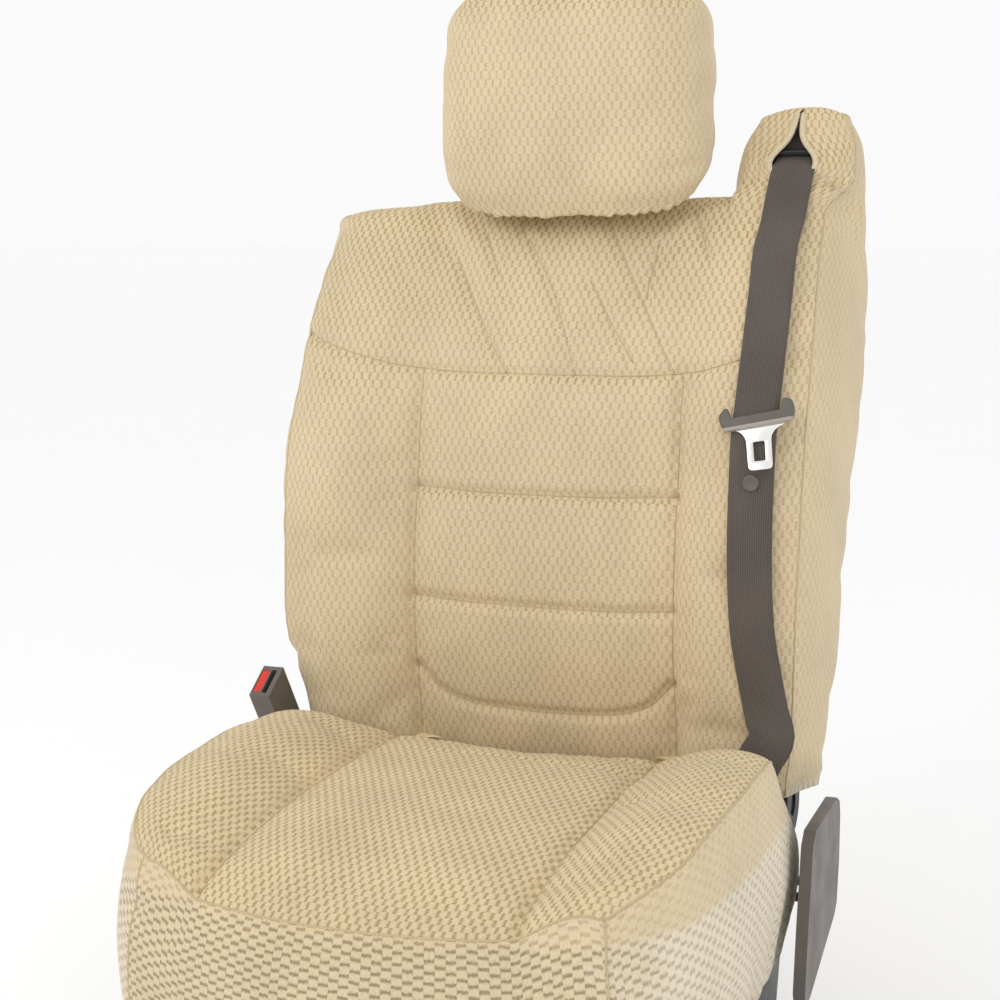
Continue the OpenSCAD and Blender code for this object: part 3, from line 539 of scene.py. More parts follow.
def distance_to(flat, line):
    """Distance from points (n, 2) to a line of points, and the place along it."""
    line = np.asarray(line, float)
    best = np.full(len(flat), 9.0)
    place = np.zeros(len(flat))
    walked = 0.0
    for a, b in zip(line[:-1], line[1:]):
        d = b - a
        size = np.linalg.norm(d)
        t = np.clip((flat - a) @ d / size**2, 0, 1)
        gap = np.linalg.norm(flat - a - t[:, None] * d, axis=1)
        nearer = gap < best
        best[nearer] = gap[nearer]
        place[nearer] = (walked + t * size)[nearer]
        walked += size
    return best, place


def push_out(made, amount, chosen=None):
    """Moves points along their normals by amount(points), only where chosen allows."""
    points, normals = read_points(made), read_normals(made)
    push = amount(points)
    if chosen is not None:
        push[~chosen(points, normals)] = 0
    write_points(made, points + normals * push[:, None])


def press_seams(made, plane, lines, chosen, depth, width, pucker, seed):
    """Draws the cover in along its seams, with small puckers beside them."""
    def amount(points):
        push = np.zeros(len(points))
        for k, line in enumerate(lines):
            gap, place = distance_to(points[:, plane], line)
            near = np.exp(-(gap / width) ** 2)
            wave = soft_noise(np.stack([place, gap * 0.3], axis=1), 0.011, seed + k)
            beside = np.exp(-(gap / 0.016) ** 2) * (1 - near)
            push = np.minimum(push, -depth * near) + pucker * wave * beside
        return push

    push_out(made, amount, chosen)


def wrinkle(made, centre, direction, size, height, waves, chosen):
    """Folds across one place of a front view: they run along direction and fade away."""
    def amount(points):
        flat = points[:, XZ] - np.asarray(centre)
        d = np.asarray(direction, float)
        d = d / np.linalg.norm(d)
        along, off = flat @ d, flat @ np.array([-d[1], d[0]])
        fade = np.exp(-(along / size[0]) ** 2 - (off / size[1]) ** 2)
        return height * np.cos(2 * math.pi * off / waves) * fade

    push_out(made, amount, chosen)


def crumple(made, height, size, seed, chosen=None):
    """The soft unevenness of a fitted cover."""
    push_out(made, lambda points: height * (soft_noise(points + 2, size, seed) + 0.4
                                            * soft_noise(points + 3, size * 0.45, seed + 1)),
             chosen)


def rounded_path(points, step):
    """Evenly spaced points on a smooth curve through a few."""
    points = np.asarray(points, float)
    keys = walked_along(points)
    count = max(2, int(round(keys[-1] / step)) + 1)
    return curve(keys, points, np.linspace(0, keys[-1], count))


def cloth_mesh(name, verts, faces, cloth, slot):
    """A smooth mesh whose points carry cloth coordinates."""
    data = bpy.data.meshes.new(name)
    data.from_pydata([tuple(v) for v in verts], [], faces)
    layer = data.uv_layers.new(name="cloth")
    corner = np.zeros(len(data.loops), int)
    data.loops.foreach_get("vertex_index", corner)
    layer.data.foreach_set("uv", np.asarray(cloth, np.float32)[corner].ravel())
    data.polygons.foreach_set("use_smooth", [True] * len(data.polygons))
    made = new_object(name, data, slot)
    face_outwards(made)
    return made


def hoop_faces(first, count, sides):
    """Faces between rings of points, from the first point on, with both ends closed."""
    faces = []
    for i in range(count - 1):
        for k in range(sides):
            a, b = first + i * sides + k, first + i * sides + (k + 1) % sides
            faces.append((a, b, b + sides, a + sides))
    faces.append(tuple(first + k for k in range(sides))[::-1])
    faces.append(tuple(first + (count - 1) * sides + k for k in range(sides)))
    return faces


def path_tangents(path):
    tangents = np.gradient(path, axis=0)
    return tangents / np.linalg.norm(tangents, axis=1, keepdims=True)


def tube(name, paths, slot, radius, sides=5, squash=1.0, step=0.005, taper=0.0):
    """Smooth tubes along paths, as one mesh, with cloth coordinates along them."""
    verts, faces, cloth = [], [], []
    for path in paths:
        path = rounded_path(path, step)
        tangents = path_tangents(path)
        side = np.cross(tangents, (0.1, -1, 0.2))
        side /= np.linalg.norm(side, axis=1, keepdims=True)
        over = np.cross(side, tangents)
        faces += hoop_faces(len(verts), len(path), sides)
        for i, centre in enumerate(path):
            end = min(i, len(path) - 1 - i) / max(1, len(path) - 1)
            r = radius * (1 - taper * math.exp(-(end / 0.04) ** 2))
            for k in range(sides):
                a = 2 * math.pi * k / sides
                verts.append(centre + r * (math.cos(a) * side[i]
                                           + squash * math.sin(a) * over[i]))
                cloth.append((i * step, k * radius))
    return cloth_mesh(name, verts, faces, cloth, slot)


def surface_of(made):
    return BVHTree.FromPolygons([tuple(p) for p in read_points(made)],
                                [tuple(f.vertices) for f in made.data.polygons])


def even_path(points, step):
    """Evenly spaced points along the straight pieces between a few."""
    points = np.asarray(points, float)
    keys = walked_along(points)
    at = np.linspace(0, keys[-1], max(2, int(round(keys[-1] / step)) + 1))
    return np.column_stack([np.interp(at, keys, points[:, k]) for k in range(3)])


def laid_on(surface, path, towards, lift, step=0.006):
    """A path moved onto a surface along a direction, a little proud of it."""
    towards = Vector(towards).normalized()
    laid = []
    for p in even_path(path, step):
        hit = surface.ray_cast(Vector(p) - 0.25 * towards, towards)
        if hit[0] is not None:
            laid.append(tuple(hit[0] + hit[1] * (lift if hit[1].dot(towards) < 0 else -lift)))
    return laid


def bevelled(made, width, segments=3):
    bevel = made.modifiers.new("bevel", "BEVEL")
    bevel.width = width
    bevel.segments = segments
    bevel.limit_method = "ANGLE"
    bevel.angle_limit = math.radians(35)
    made.modifiers.new("shading", "WEIGHTED_NORMAL").keep_sharp = True


# ---- Backrest cover ----

INSERT_HALF_W = 0.145
# Rows: height, insert y, bolster y, rear y, front and rear half width, how far the left
# bolster reaches beyond the right one
BACK_ROWS = np.array([
    [0.335, 0.214, 0.182, 0.298, 0.274, 0.288, 0],
    [0.400, 0.206, 0.176, 0.318, 0.280, 0.294, 0.003],
    [0.470, 0.192, 0.170, 0.338, 0.283, 0.299, 0.018],
    [0.560, 0.190, 0.170, 0.360, 0.285, 0.303, 0.020],
    [0.660, 0.204, 0.177, 0.390, 0.286, 0.306, 0.018],
    [0.765, 0.222, 0.212, 0.414, 0.285, 0.308, 0.015],
    [0.850, 0.252, 0.252, 0.417, 0.283, 0.307, 0.015],
    [0.890, 0.272, 0.272, 0.412, 0.281, 0.305, 0.013],
    [0.938, 0.302, 0.302, 0.397, 0.280, 0.303, 0.004]])
SPLIT_Z = BACK_ROWS[-1, 0]
RIDGE_Y = 0.336
CROWN_Z = 0.952
# Columns between the ring's controls: front, then one side
FRONT_STEPS = [3, 6, 6, 4, 10, 10, 10, 10, 4, 6, 6, 3]
SIDE_STEPS = [4, 8, 8, 4]
NOTCH_SHARE = 0.2
ROW_STEP = 0.0075


def back_controls(z):
    """Corner points of the backrest's outline at one height, from the left rear round."""
    insert, bolster, rear, front_w, rear_w, reach = read_row(BACK_ROWS, z)
    run = min(0.038, 0.3 * (rear - bolster))

    def half(front, back):
        side = lambda share: INSERT_HALF_W + (front - INSERT_HALF_W) * share
        return [(back, rear - run), ((front + back) / 2 + 0.003, (bolster + rear) / 2),
                (front, bolster + run), (side(0.94), bolster + run / 3),
                (side(0.79), bolster), (side(0.5), bolster - 0.002),
                (side(NOTCH_SHARE), insert + 0.62 * (bolster - insert))]

    left = half(front_w + reach, rear_w + reach / 2)
    right = half(front_w, rear_w)
    left_w = rear_w + reach / 2
    middle = [(share * INSERT_HALF_W, insert - 0.003 * (1 - share * share))
              for share in (-1, -0.5, 0, 0.5, 1)]
    notch = right[-1][0]
    back = [(rear_w - 0.012, rear - 0.009), (rear_w - 0.045, rear), (notch, rear), (0, rear),
            (-notch, rear), (0.045 - left_w, rear), (0.012 - left_w, rear - 0.009)]
    return np.array([(-x, y) for x, y in left] + middle + right[::-1] + back)


def closed_curve(controls, keys, at):
    """A closed smooth curve; keys has one more entry than there are controls."""
    total = keys[-1]
    wrapped = np.concatenate([controls[-3:], controls, controls[:3]])
    places = np.concatenate([keys[-4:-1] - total, keys[:-1], keys[:3] + total])
    return curve(places, wrapped, at)


def back_keys():
    """Where the ring's columns lie: left side, front, right side and rear."""
    reference = back_controls(0.66)
    keys = walked_along(np.vstack([reference, reference[:1]]))

    def between(first, counts):
        out = []
        for k, count in enumerate(counts):
            low, high = keys[first + k], keys[first + k + 1]
            out.extend(low + (high - low) * np.arange(count) / count)
        return out

    front = between(3, FRONT_STEPS) + [keys[15]]
    right = between(15, SIDE_STEPS)[1:]
    left = between(25, SIDE_STEPS[:1])[1:] + between(0, SIDE_STEPS[1:])
    fine = np.linspace(keys[19], keys[25], 400)
    rear_x = closed_curve(reference, keys, fine)[:, 0]
    front_x = closed_curve(reference, keys, np.array(front))[:, 0]
    span = reference[19, 0] / reference[15, 0]
    rear = np.interp(-front_x[::-1] * span, -rear_x, fine)
    return keys, np.array(front), np.array(right), rear, np.array(left)


KEYS, FRONT_KEYS, RIGHT_KEYS, REAR_KEYS, LEFT_KEYS = back_keys()
FRONT_N = len(FRONT_KEYS)
NOTCH_AT = sum(FRONT_STEPS[:9])


def shoulder_drop(x, most):
    return most * (np.clip(-x, 0, None) / 0.3) ** 2.2


def back_ring(z, keys):
    """Points of the outline at one height; the left shoulder sits lower than the middle."""
    flat = closed_curve(back_controls(z), KEYS, keys)
    drop = shoulder_drop(flat[:, 0], 0.022) * smooth(z, 0.80, SPLIT_Z)
    return np.column_stack([flat, z - drop])


def ridge_rows(base, ridge, count, power):
    """Rows that close over from a base row to a ridge row; power may differ by column."""
    rows = []
    for t in np.linspace(0, 1, count + 1):
        row = base.copy()
        row[:, 0] += (ridge[:, 0] - base[:, 0]) * t**2
        row[:, 1] += (ridge[:, 1] - base[:, 1]) * t**power
        row[:, 2] += (ridge[:, 2] - base[:, 2]) * math.sin(t * math.pi / 2)
        rows.append(row)
    return np.array(rows)


# Rows of faces from the yoke to the crown's ridge, and along the wall beside the sleeve
CROWN_N, WALL_N = 9, 14


def arch(count):
    return np.sin(np.linspace(0, math.pi, count))


def build_back_cover():
    zs = np.linspace(BACK_ROWS[0, 0], SPLIT_Z, int((SPLIT_Z - BACK_ROWS[0, 0]) / ROW_STEP))
    front = np.array([back_ring(z, FRONT_KEYS) for z in zs])
    right = np.array([back_ring(z, np.concatenate([[KEYS[15]], RIGHT_KEYS, [KEYS[19]]]))
                      for z in zs])
    rear = np.array([back_ring(z, REAR_KEYS) for z in zs])
    left = np.array([back_ring(z, np.concatenate([[KEYS[25]], LEFT_KEYS, [KEYS[3]]]))
                     for z in zs])
    rear[:, 0], rear[:, -1] = right[:, -1], left[:, 0]
    middle = FRONT_N // 2
    parts = {"front": front, "right": right, "rear": rear, "left": left}
    patches = []
    for name, grid in parts.items():
        cloth = cloth_from(grid, middle if name in ("front", "rear") else 0, 0)
        cloth[:, :, 1] = cloth_from(front, middle, middle)[:, [0], 1]
        seams = [sum(FRONT_STEPS[:4]), sum(FRONT_STEPS[:8])] if name == "front" else []
        patches.append(Patch(grid, cloth, pinned(grid, (0, 1), [0, -1] + seams)))
    start_v = patches[0].cloth[-1, 0, 1]
    base_u = {name: patch.cloth[-1, :, 0] for name, patch in zip(parts, patches)}

    # Crown: over the shoulder up to the notch beside the tower
    f0, r0, l0 = front[-1, :NOTCH_AT + 1], rear[-1, FRONT_N - 1 - NOTCH_AT:], left[-1]
    r0m = r0[::-1]
    x_ridge = (f0[:, 0] + r0m[:, 0]) / 2
    x_ridge = np.where(x_ridge < 0, 0.90 * x_ridge, 0.95 * x_ridge)
    ridge = np.column_stack([
        x_ridge, np.full(len(f0), RIDGE_Y),
        CROWN_Z - 0.017 * (np.clip(-x_ridge, 0, None) / 0.272) ** 2.2
        - 0.004 * np.clip(x_ridge, 0, None) / 0.172])
    wall0 = f0[-1] + (r0m[-1] - f0[-1]) * np.linspace(0, 1, WALL_N + 1)[:, None]
    crown = [
        (ridge_rows(f0, ridge, CROWN_N, 1.4 - 0.25 * arch(len(f0))),
         base_u["front"][:NOTCH_AT + 1]),
        (ridge_rows(r0, ridge[::-1], CROWN_N, 1.4 + 0.3 * arch(len(r0))),
         base_u["rear"][FRONT_N - 1 - NOTCH_AT:]),
        (ridge_rows(l0, np.tile(ridge[0], (len(l0), 1)), CROWN_N, 1.4), base_u["left"]),
        (ridge_rows(wall0, np.tile(ridge[-1], (WALL_N + 1, 1)), CROWN_N, 1.4),
         np.linspace(0, 0.1, WALL_N + 1))]
    for grid, along in crown:
        cloth = cloth_from(grid, grid.shape[1] // 2, grid.shape[1] // 2, start_v)
        cloth[:, :, 0] = along
        patches.append(Patch(grid, cloth, pinned(grid, [-1])))

    # Tower sleeve: from the notch to the right side, up to its own ridge
    patches += tower_patches(front[-1, NOTCH_AT:], right[-1], rear[-1, :FRONT_N - NOTCH_AT],
                             wall0, base_u, start_v)
    return sew("back_cover", patches, "cover_velour")


# Rows: height, front y, rear y, left x, right x
TOWER_ROWS = np.array([
    [0.938, 0.302, 0.397, 0.172, 0.304], [0.955, 0.316, 0.397, 0.172, 0.304],
    [0.975, 0.329, 0.394, 0.172, 0.303], [1.005, 0.345, 0.388, 0.176, 0.299],
    [1.030, 0.356, 0.384, 0.189, 0.288]])
# Ridge over the top: left and right x, y, height
TOWER_RIDGE = (0.207, 0.272, 0.370, 1.044)
# Where the sleeve's opening is, and its share of the sleeve's width
SLIT_X, SLIT_SHARE = 0.236, 0.4724
# Half width of the sleeve's opening at each height
SLIT = np.array([[0.930, 0], [0.963, 0], [0.969, 0.017], [0.976, 0.0245], [0.990, 0.0245],
                 [0.999, 0.016], [1.008, 0.008], [1.020, 0.0045], [1.034, 0.0035],
                 [1.044, 0]])


def squared_ring(p, q, row, softness=0.36):
    """A place on a rounded rectangle; p and q run from -1 to 1 along its sides."""
    front, rear, left, right = row
    x = p * np.sqrt(1 - softness * q**2 / 2)
    y = q * np.sqrt(1 - softness * p**2 / 2)
    return np.column_stack([(left + right) / 2 + x * (right - left) / 2,
                            (front + rear) / 2 + y * (rear - front) / 2])


def tower_patches(f0, s0, r0, wall0, base_u, start_v):
    count = len(f0) - 1
    zs = np.linspace(SPLIT_Z, TOWER_ROWS[-1, 0], 14)
    run = lambda n: np.linspace(-1, 1, n)
    places = {
        "front": (f0, run(count + 1), np.full(count + 1, -1.0)),
        "side": (s0, np.full(len(s0), 1.0), run(len(s0))),
        "rear": (r0, run(len(r0))[::-1], np.full(len(r0), 1.0)),
        "wall": (wall0, np.full(len(wall0), -1.0), run(len(wall0)))}
    x_low, x_high, ridge_y, ridge_z = TOWER_RIDGE
    grids = {}
    for name, (base, p, q) in places.items():
        rows = []
        for z in zs:
            target = squared_ring(p, q, read_row(TOWER_ROWS, z))
            share = smooth(z, SPLIT_Z, SPLIT_Z + 0.030)
            flat = base[:, :2] * (1 - share) + target * share
            rows.append(np.column_stack([flat, np.full(len(flat), z)]))
        rows[0][:, 2] = base[:, 2]
        share = (p + 1) / 2
        ridge = np.column_stack([x_low + (x_high - x_low) * share,
                                 np.full(len(p), ridge_y),
                                 ridge_z - 0.006 * np.abs(p) ** 3])
        over = ridge_rows(rows[-1], ridge, 7, 1.2)
        grids[name] = np.concatenate([np.array(rows), over[1:]])
    patches = []
    slit_at = int(round(SLIT_SHARE * count))
    for name, grid in grids.items():
        middle = grid.shape[1] // 2
        cloth = cloth_from(grid, middle, middle, start_v)
        if name == "side":
            cloth[:, :, 0] = base_u["right"]
        if name == "front":
            cloth[:, :, 0] = base_u["front"][NOTCH_AT:]
            gap = np.interp(grid[:, slit_at, 2], SLIT[:, 0], SLIT[:, 1])
            gap[-1] = 0
            for side, part in ((-1, slice(0, slit_at + 1)), (1, slice(slit_at, None))):
                half = grid[:, part].copy()
                reach = np.abs(half[:, :, 0] - grid[:, [slit_at], 0])
                room = np.maximum(reach.max(axis=1, keepdims=True), 1e-6)
                half[:, :, 0] += side * gap[:, None] * (1 - reach / room)
                # The edges of the opening turn outwards
                lip = np.exp(-(reach / 0.012) ** 2) * smooth(gap, 0, 0.006)[:, None]
                half[:, :, 1] -= 0.006 * lip
                pins = pinned(half)
                pins[:, -1 if side < 0 else 0] = smooth(grid[:, slit_at, 2], 0.955, 0.965)
                pins[-1] = 1
                patches.append(Patch(half, cloth[:, part], pins))
        else:
            seams = (0, -1) if name == "side" else ()
            patches.append(Patch(grid, cloth, pinned(grid, [-1], seams)))
    return patches


# ---- Cushion cover ----

CUSHION_FRONT_Y, CUSHION_CORNER_Y = -0.325, -0.272
CUSHION_REAR_Y, BOLSTER_REAR_Y = 0.195, 0.150
CUSHION_HEM_Z = 0.193
# Rows: share of the depth, half width, height of the middle panel, share of the rise
CUSHION_ROWS = np.array([
    [0, 0.214, 0.345, 0.70], [0.06, 0.236, 0.357, 0.75], [0.15, 0.255, 0.366, 0.85],
    [0.30, 0.267, 0.376, 1], [0.50, 0.272, 0.381, 1], [0.75, 0.272, 0.380, 1],
    [0.92, 0.268, 0.371, 0.9], [1, 0.262, 0.352, 0.6]])
BOLSTER_RISE = 0.030
BOLSTER_COLS = np.array([[0, 0], [0.3, 0.55], [0.65, 1], [0.88, 0.95], [1, 0.8]])
BOLSTER_N, INSERT_N, DEPTH_N, SKIRT_N = 18, 40, 74, 24
# Skirt levels: share of the height, bulge, reach behind the cushion
SKIRT_LEVELS = np.array([[0, 0, 0], [0.2, 0.007, 0.032], [0.5, 0.014, 0.066],
                         [0.8, 0.013, 0.066], [1, 0.008, 0.034]])
# Rows of the gathered hem under the skirt: change in height, distance inwards
CUSHION_HEM = [(-0.004, 0.003), (-0.005, 0.010), (0.001, 0.016)]
# Flap behind the cushion: how far it hangs and sags, and its rows of points
FLAP_DROP, FLAP_SAG, FLAP_N = 0.14, 0.0025, 12


def cushion_top():
    shares = np.linspace(0, 1, DEPTH_N + 1)
    rows = curve(CUSHION_ROWS[:, 0], CUSHION_ROWS[:, 1:], shares)
    bolster = np.linspace(0, 1, BOLSTER_N + 1)
    across = np.concatenate([-1 - bolster[:0:-1], np.linspace(-1, 1, INSERT_N + 1),
                             1 + bolster[1:]])
    grid = np.zeros((len(shares), len(across), 3))
    for i, (depth, (half_w, height, rise)) in enumerate(zip(shares, rows)):
        over = np.clip(np.abs(across) - 1, 0, 1)
        x = np.where(over > 0, np.sign(across) * (INSERT_HALF_W + (half_w - INSERT_HALF_W)
                                                  * over), across * INSERT_HALF_W)
        front = CUSHION_FRONT_Y + (CUSHION_CORNER_Y - CUSHION_FRONT_Y) * (x / half_w) ** 2
        rear = CUSHION_REAR_Y + (BOLSTER_REAR_Y - CUSHION_REAR_Y) * np.minimum(1, 1.6 * over)
        lift = curve(BOLSTER_COLS[:, 0], BOLSTER_COLS[:, 1], over)
        lift = np.where(over > 0, lift, 0)
        grid[i] = np.column_stack([x, front + (rear - front) * depth,
                                   height + BOLSTER_RISE * rise * lift])
    return grid


def cushion_skirt(top):
    edge = np.concatenate([top[::-1, 0], top[0, 1:-1], top[:, -1]])
    out = np.column_stack([edge[:, 0] / 0.272**2, (edge[:, 1] + 0.04) / 0.330**2,
                           np.zeros(len(edge))])
    out /= np.linalg.norm(out, axis=1, keepdims=True)
    behind = np.clip(edge[:, 1] / BOLSTER_REAR_Y, 0, None) ** 2
    walked = walked_along(edge)
    rows = []
    for t in np.linspace(0, 1, SKIRT_N + 1):
        bulge, reach = read_row(SKIRT_LEVELS, t)
        row = edge + out * bulge
        row[:, 1] += reach * behind
        row[:, 2] = edge[:, 2] + (CUSHION_HEM_Z - edge[:, 2]) * t
        ruffle = 0.0026 * smooth(t, 0.45, 1) * soft_noise(walked[:, None], 0.022, 5)
        rows.append(row + out * ruffle[:, None])
    # The elastic draws the hem under
    for k, (drop, inset) in enumerate(CUSHION_HEM):
        ruffle = 0.0035 * soft_noise(walked[:, None], 0.014, 6)
        rows.append(rows[SKIRT_N] - out * (inset + ruffle[:, None] * (k > 0))
                    + np.array([0, 0, drop]))
    return np.array(rows), walked


def build_cushion_cover():
    top = cushion_top()
    middle = top.shape[1] // 2
    pins = pinned(top, (0, -1), (0, BOLSTER_N, BOLSTER_N + INSERT_N, -1))
    skirt, walked = cushion_skirt(top)
    fall = cloth_from(skirt, 0, skirt.shape[1] // 2)[:, [0], 1]
    cloth = np.stack([np.broadcast_to(-fall, skirt.shape[:2]),
                      np.broadcast_to(walked[None], skirt.shape[:2])], axis=2)
    skirt_pins = pinned(skirt, [0, *range(SKIRT_N, len(skirt))], (0, -1))
    flap = np.array([top[-1] + np.array([0, FLAP_SAG * math.sin(math.pi * t), -FLAP_DROP * t])
                     for t in np.linspace(0, 1, FLAP_N)])
    return sew("cushion_cover", [
        Patch(top, cloth_from(top, middle, middle), pins), Patch(skirt, cloth, skirt_pins),
        Patch(flap, cloth_from(flap, middle, middle), pinned(flap, range(FLAP_N)))],
        "cover_velour")


# ---- Headrest cover ----

# Rows: front height, rise towards the rear, front y, rear y, half width
HEAD_ROWS = np.array([
    [0.934, 0.46, 0.236, 0.347, 0.132], [0.944, 0.42, 0.230, 0.352, 0.139],
    [0.975, 0.27, 0.224, 0.357, 0.146], [1.040, 0.10, 0.222, 0.358, 0.148],
    [1.100, 0.00, 0.226, 0.356, 0.146], [1.145, 0.00, 0.236, 0.350, 0.137],
    [1.166, 0.00, 0.250, 0.339, 0.119]])
# Ridge along the top: y, height, half length
HEAD_RIDGE = (0.296, 1.178, 0.080)
# Rows of the gathered hem: distance inwards, change in height, height of the gathers
HEAD_HEM = [(0.016, 0.004, 0.0036), (0.012, -0.003, 0.0042), (0.006, -0.006, 0.0034),
            (0.002, -0.004, 0.0020)]
HEAD_N = 110
# The cover sits a little to the right of the posts
HEAD_X = 0.008


def head_ring(row, start, end):
    height, tilt, front, rear, half_w = row
    t = np.linspace(start, end, HEAD_N + 1)
    x = half_w * np.sign(np.cos(t)) * np.abs(np.cos(t)) ** 0.62
    y = (front + rear) / 2 + (rear - front) / 2 * np.sign(np.sin(t)) * np.abs(np.sin(t)) ** 0.72
    return np.column_stack([x + HEAD_X, y, height + tilt * (y - front)])


def build_head_cover():
    keys = HEAD_ROWS[:, 0]
    heights = np.linspace(keys[0], keys[-1], 34)
    rows = curve(keys, HEAD_ROWS, heights)
    patches = []
    for start, end in ((-math.pi, 0), (math.pi, 0)):
        grid = np.array([head_ring(row, start, end) for row in rows])
        ridge_y, ridge_z, ridge_w = HEAD_RIDGE
        along = (grid[-1][:, 0] - HEAD_X) / np.ptp(grid[-1][:, 0]) * 2 * ridge_w
        ridge = np.column_stack([along + HEAD_X, np.full(len(along), ridge_y),
                                 ridge_z - 0.008 * np.abs(along / ridge_w) ** 3])
        over = ridge_rows(grid[-1], ridge, 8, 1.15)
        centre = np.array([HEAD_X, 0.5 * (rows[0][2] + rows[0][3]), 0])
        hem = []
        walked = walked_along(grid[0])
        for depth, drop, wave in HEAD_HEM:
            sway = soft_noise(walked[:, None] + 3, 0.030, 8)
            ruffle = wave * (0.7 * np.sin(2 * math.pi * walked / 0.013 + 2.5 * sway)
                             + 0.6 * soft_noise(walked[:, None] + 3, 0.016, 9))
            row = grid[0].copy()
            inward = centre - row
            inward[:, 2] = 0
            inward /= np.linalg.norm(inward, axis=1, keepdims=True)
            row += inward * (depth + ruffle[:, None])
            row[:, 2] += drop + ruffle * 0.8
            fade = np.minimum(1, 6 * np.abs(np.sin(np.linspace(0, math.pi, len(row)))))
            row = row * fade[:, None] + (grid[0] + inward * depth + np.array(
                [0, 0, drop])) * (1 - fade[:, None])
            hem.append(row)
        grid = np.concatenate([np.array(hem), grid, over[1:]])
        cloth = cloth_from(grid, HEAD_N // 2, HEAD_N // 2)
        patches.append(Patch(grid, cloth, pinned(grid, [*range(6), -1], (0, -1))))
    return sew("head_cover", patches, "cover_velour")


# ---- Seam lines, in the front view (x, z) of the backrest and (x, y) of the cushion ----

YOKE_SEAM = [(-0.288, 0.800), (-0.215, 0.778), (-0.145, 0.764), (0, 0.763), (0.145, 0.764),
             (0.205, 0.783)]
YOKE_PLEATS = [
    [(-0.120, 0.880), (-0.047, 0.764)], [(-0.092, 0.911), (-0.070, 0.868)],
    [(-0.040, 0.905), (0.000, 0.846), (0.030, 0.764)], [(0.036, 0.860), (0.092, 0.777)],
    [(0.044, 0.928), (0.098, 0.836), (0.136, 0.766)], [(0.104, 0.900), (0.098, 0.842)],
    [(0.135, 0.934), (0.160, 0.886)], [(-0.050, 0.937), (-0.050, 0.914)]]
INSERT_SEAMS = [[(side * 0.145, 0.342), (side * 0.145, 0.763)] for side in (-1, 1)]
CHANNELS = [[(-0.144, 0.640), (0, 0.636), (0.144, 0.640)],
            [(-0.144, 0.521), (0, 0.517), (0.144, 0.521)],
            [(-0.143, 0.442), (-0.110, 0.405), (0, 0.400), (0.110, 0.405), (0.143, 0.442)]]
# Creases: centre and direction in the front view, length and width, height, wave length
INSERT_CREASE = ((0.000, 0.625), (0, 1), (0.040, 0.006), -0.0025, 0.020)
SLEEVE_CREASES = [((0.276, 0.962), (1, lean), (0.026, 0.005), -0.0030, 0.016)
                  for lean in (0.9, 0.1, -0.7)]
SLEEVE_CREASES.append(((0.196, 0.985), (0.25, 1), (0.028, 0.007), -0.0030, 0.022))
# The right side seam goes on up the sleeve
SLEEVE_SEAM = [(0.298, 0.331, 0.965), (0.2965, 0.342, 0.985), (0.293, 0.352, 1.003),
               (0.285, 0.360, 1.020)]
CUSHION_SEAMS = [[(side * 0.145, -0.292), (side * 0.145, 0.165)] for side in (-1, 1)]
CUSHION_CHANNELS = [[(-0.145, 0.070), (0, 0.066), (0.145, 0.070)],
                    [(-0.145, 0.118), (0, 0.114), (0.145, 0.118)]]
XZ, XY = [0, 2], [0, 1]
# Seam lines lie this far proud of the cover
SEAM_LIFT = 0.0002


def eased(lines):
    """The same lines with their corners cut twice."""
    out = []
    for line in lines:
        line = np.asarray(line, float)
        for _ in range(2):
            a, b = line[:-1], line[1:]
            cut = np.stack([0.75 * a + 0.25 * b, 0.25 * a + 0.75 * b], axis=1)
            line = np.vstack([line[:1], cut.reshape(-1, 2), line[-1:]])
        out.append(line)
    return out


def faces_front(points, normals):
    return (normals[:, 1] < -0.2) & (points[:, 1] < 0.34)


def below_sleeve(points, normals):
    return faces_front(points, normals) & ((points[:, 0] < 0.185) | (points[:, 2] < 0.9))


def faces_up(_, normals):
    return normals[:, 2] > 0.3


def sew_details(cover, name, plane, groups, towards, body):
    """Thin seam lines that lie in the grooves, in a darker tan that paints the shade of the
    grooves and pleat folds.
    """
    surface = surface_of(cover)
    paths = []
    for line in groups:
        at = np.full((len(line), 3), 0.25 if plane == XZ else 0.40)
        at[:, plane] = line
        laid = laid_on(surface, at, towards, SEAM_LIFT)
        if len(laid) > 3:
            paths.append(laid)
    made = tube(name, paths, "cover_edge", 0.0006)
    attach(made, body)


def edge_seam(cover, name, lines, body, radius=0.0009):
    """Seam lines given by points in space, drawn onto the nearest place of the cover, in the
    darker tan that paints the shade of the seam grooves.
    """
    surface = surface_of(cover)
    paths = []
    for line in lines:
        near = [surface.find_nearest(Vector(p)) for p in even_path(line, 0.008)]
        paths.append([tuple(hit[0]) for hit in near])
    made = tube(name, paths, "cover_edge", radius)
    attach(made, body)


# Room behind the webbing, and the distance beside it over which that room ends
BELT_ROOM, BELT_SIDE = 0.0042, (0.042, 0.060)
# Inner face of the space where the buckle swings, and where it ends upwards and rearwards
BUCKLE_SIDE_X, BUCKLE_TOP, BUCKLE_REAR = -0.2815, (0.448, 0.482), (0.230, 0.265)


def clear_belt(cover):
    """Holds the cover behind the webbing that lies along it."""
    points, normals = read_points(cover), read_normals(cover)
    run = np.array(BELT_ROUTE[7:])[::-1]
    belt_x = np.interp(points[:, 2], run[:, 2], run[:, 0])
    belt_front = np.interp(points[:, 2], run[:, 2], run[:, 1])
    beside = smooth(np.abs(points[:, 0] - belt_x), *BELT_SIDE)
    limit = belt_front + BELT_ROOM - 0.030 * beside
    held = faces_front(points, normals) & (points[:, 2] > 0.40) & (points[:, 2] < 0.960)
    points[held, 1] = np.maximum(points[held, 1], limit[held])
    write_points(cover, points)


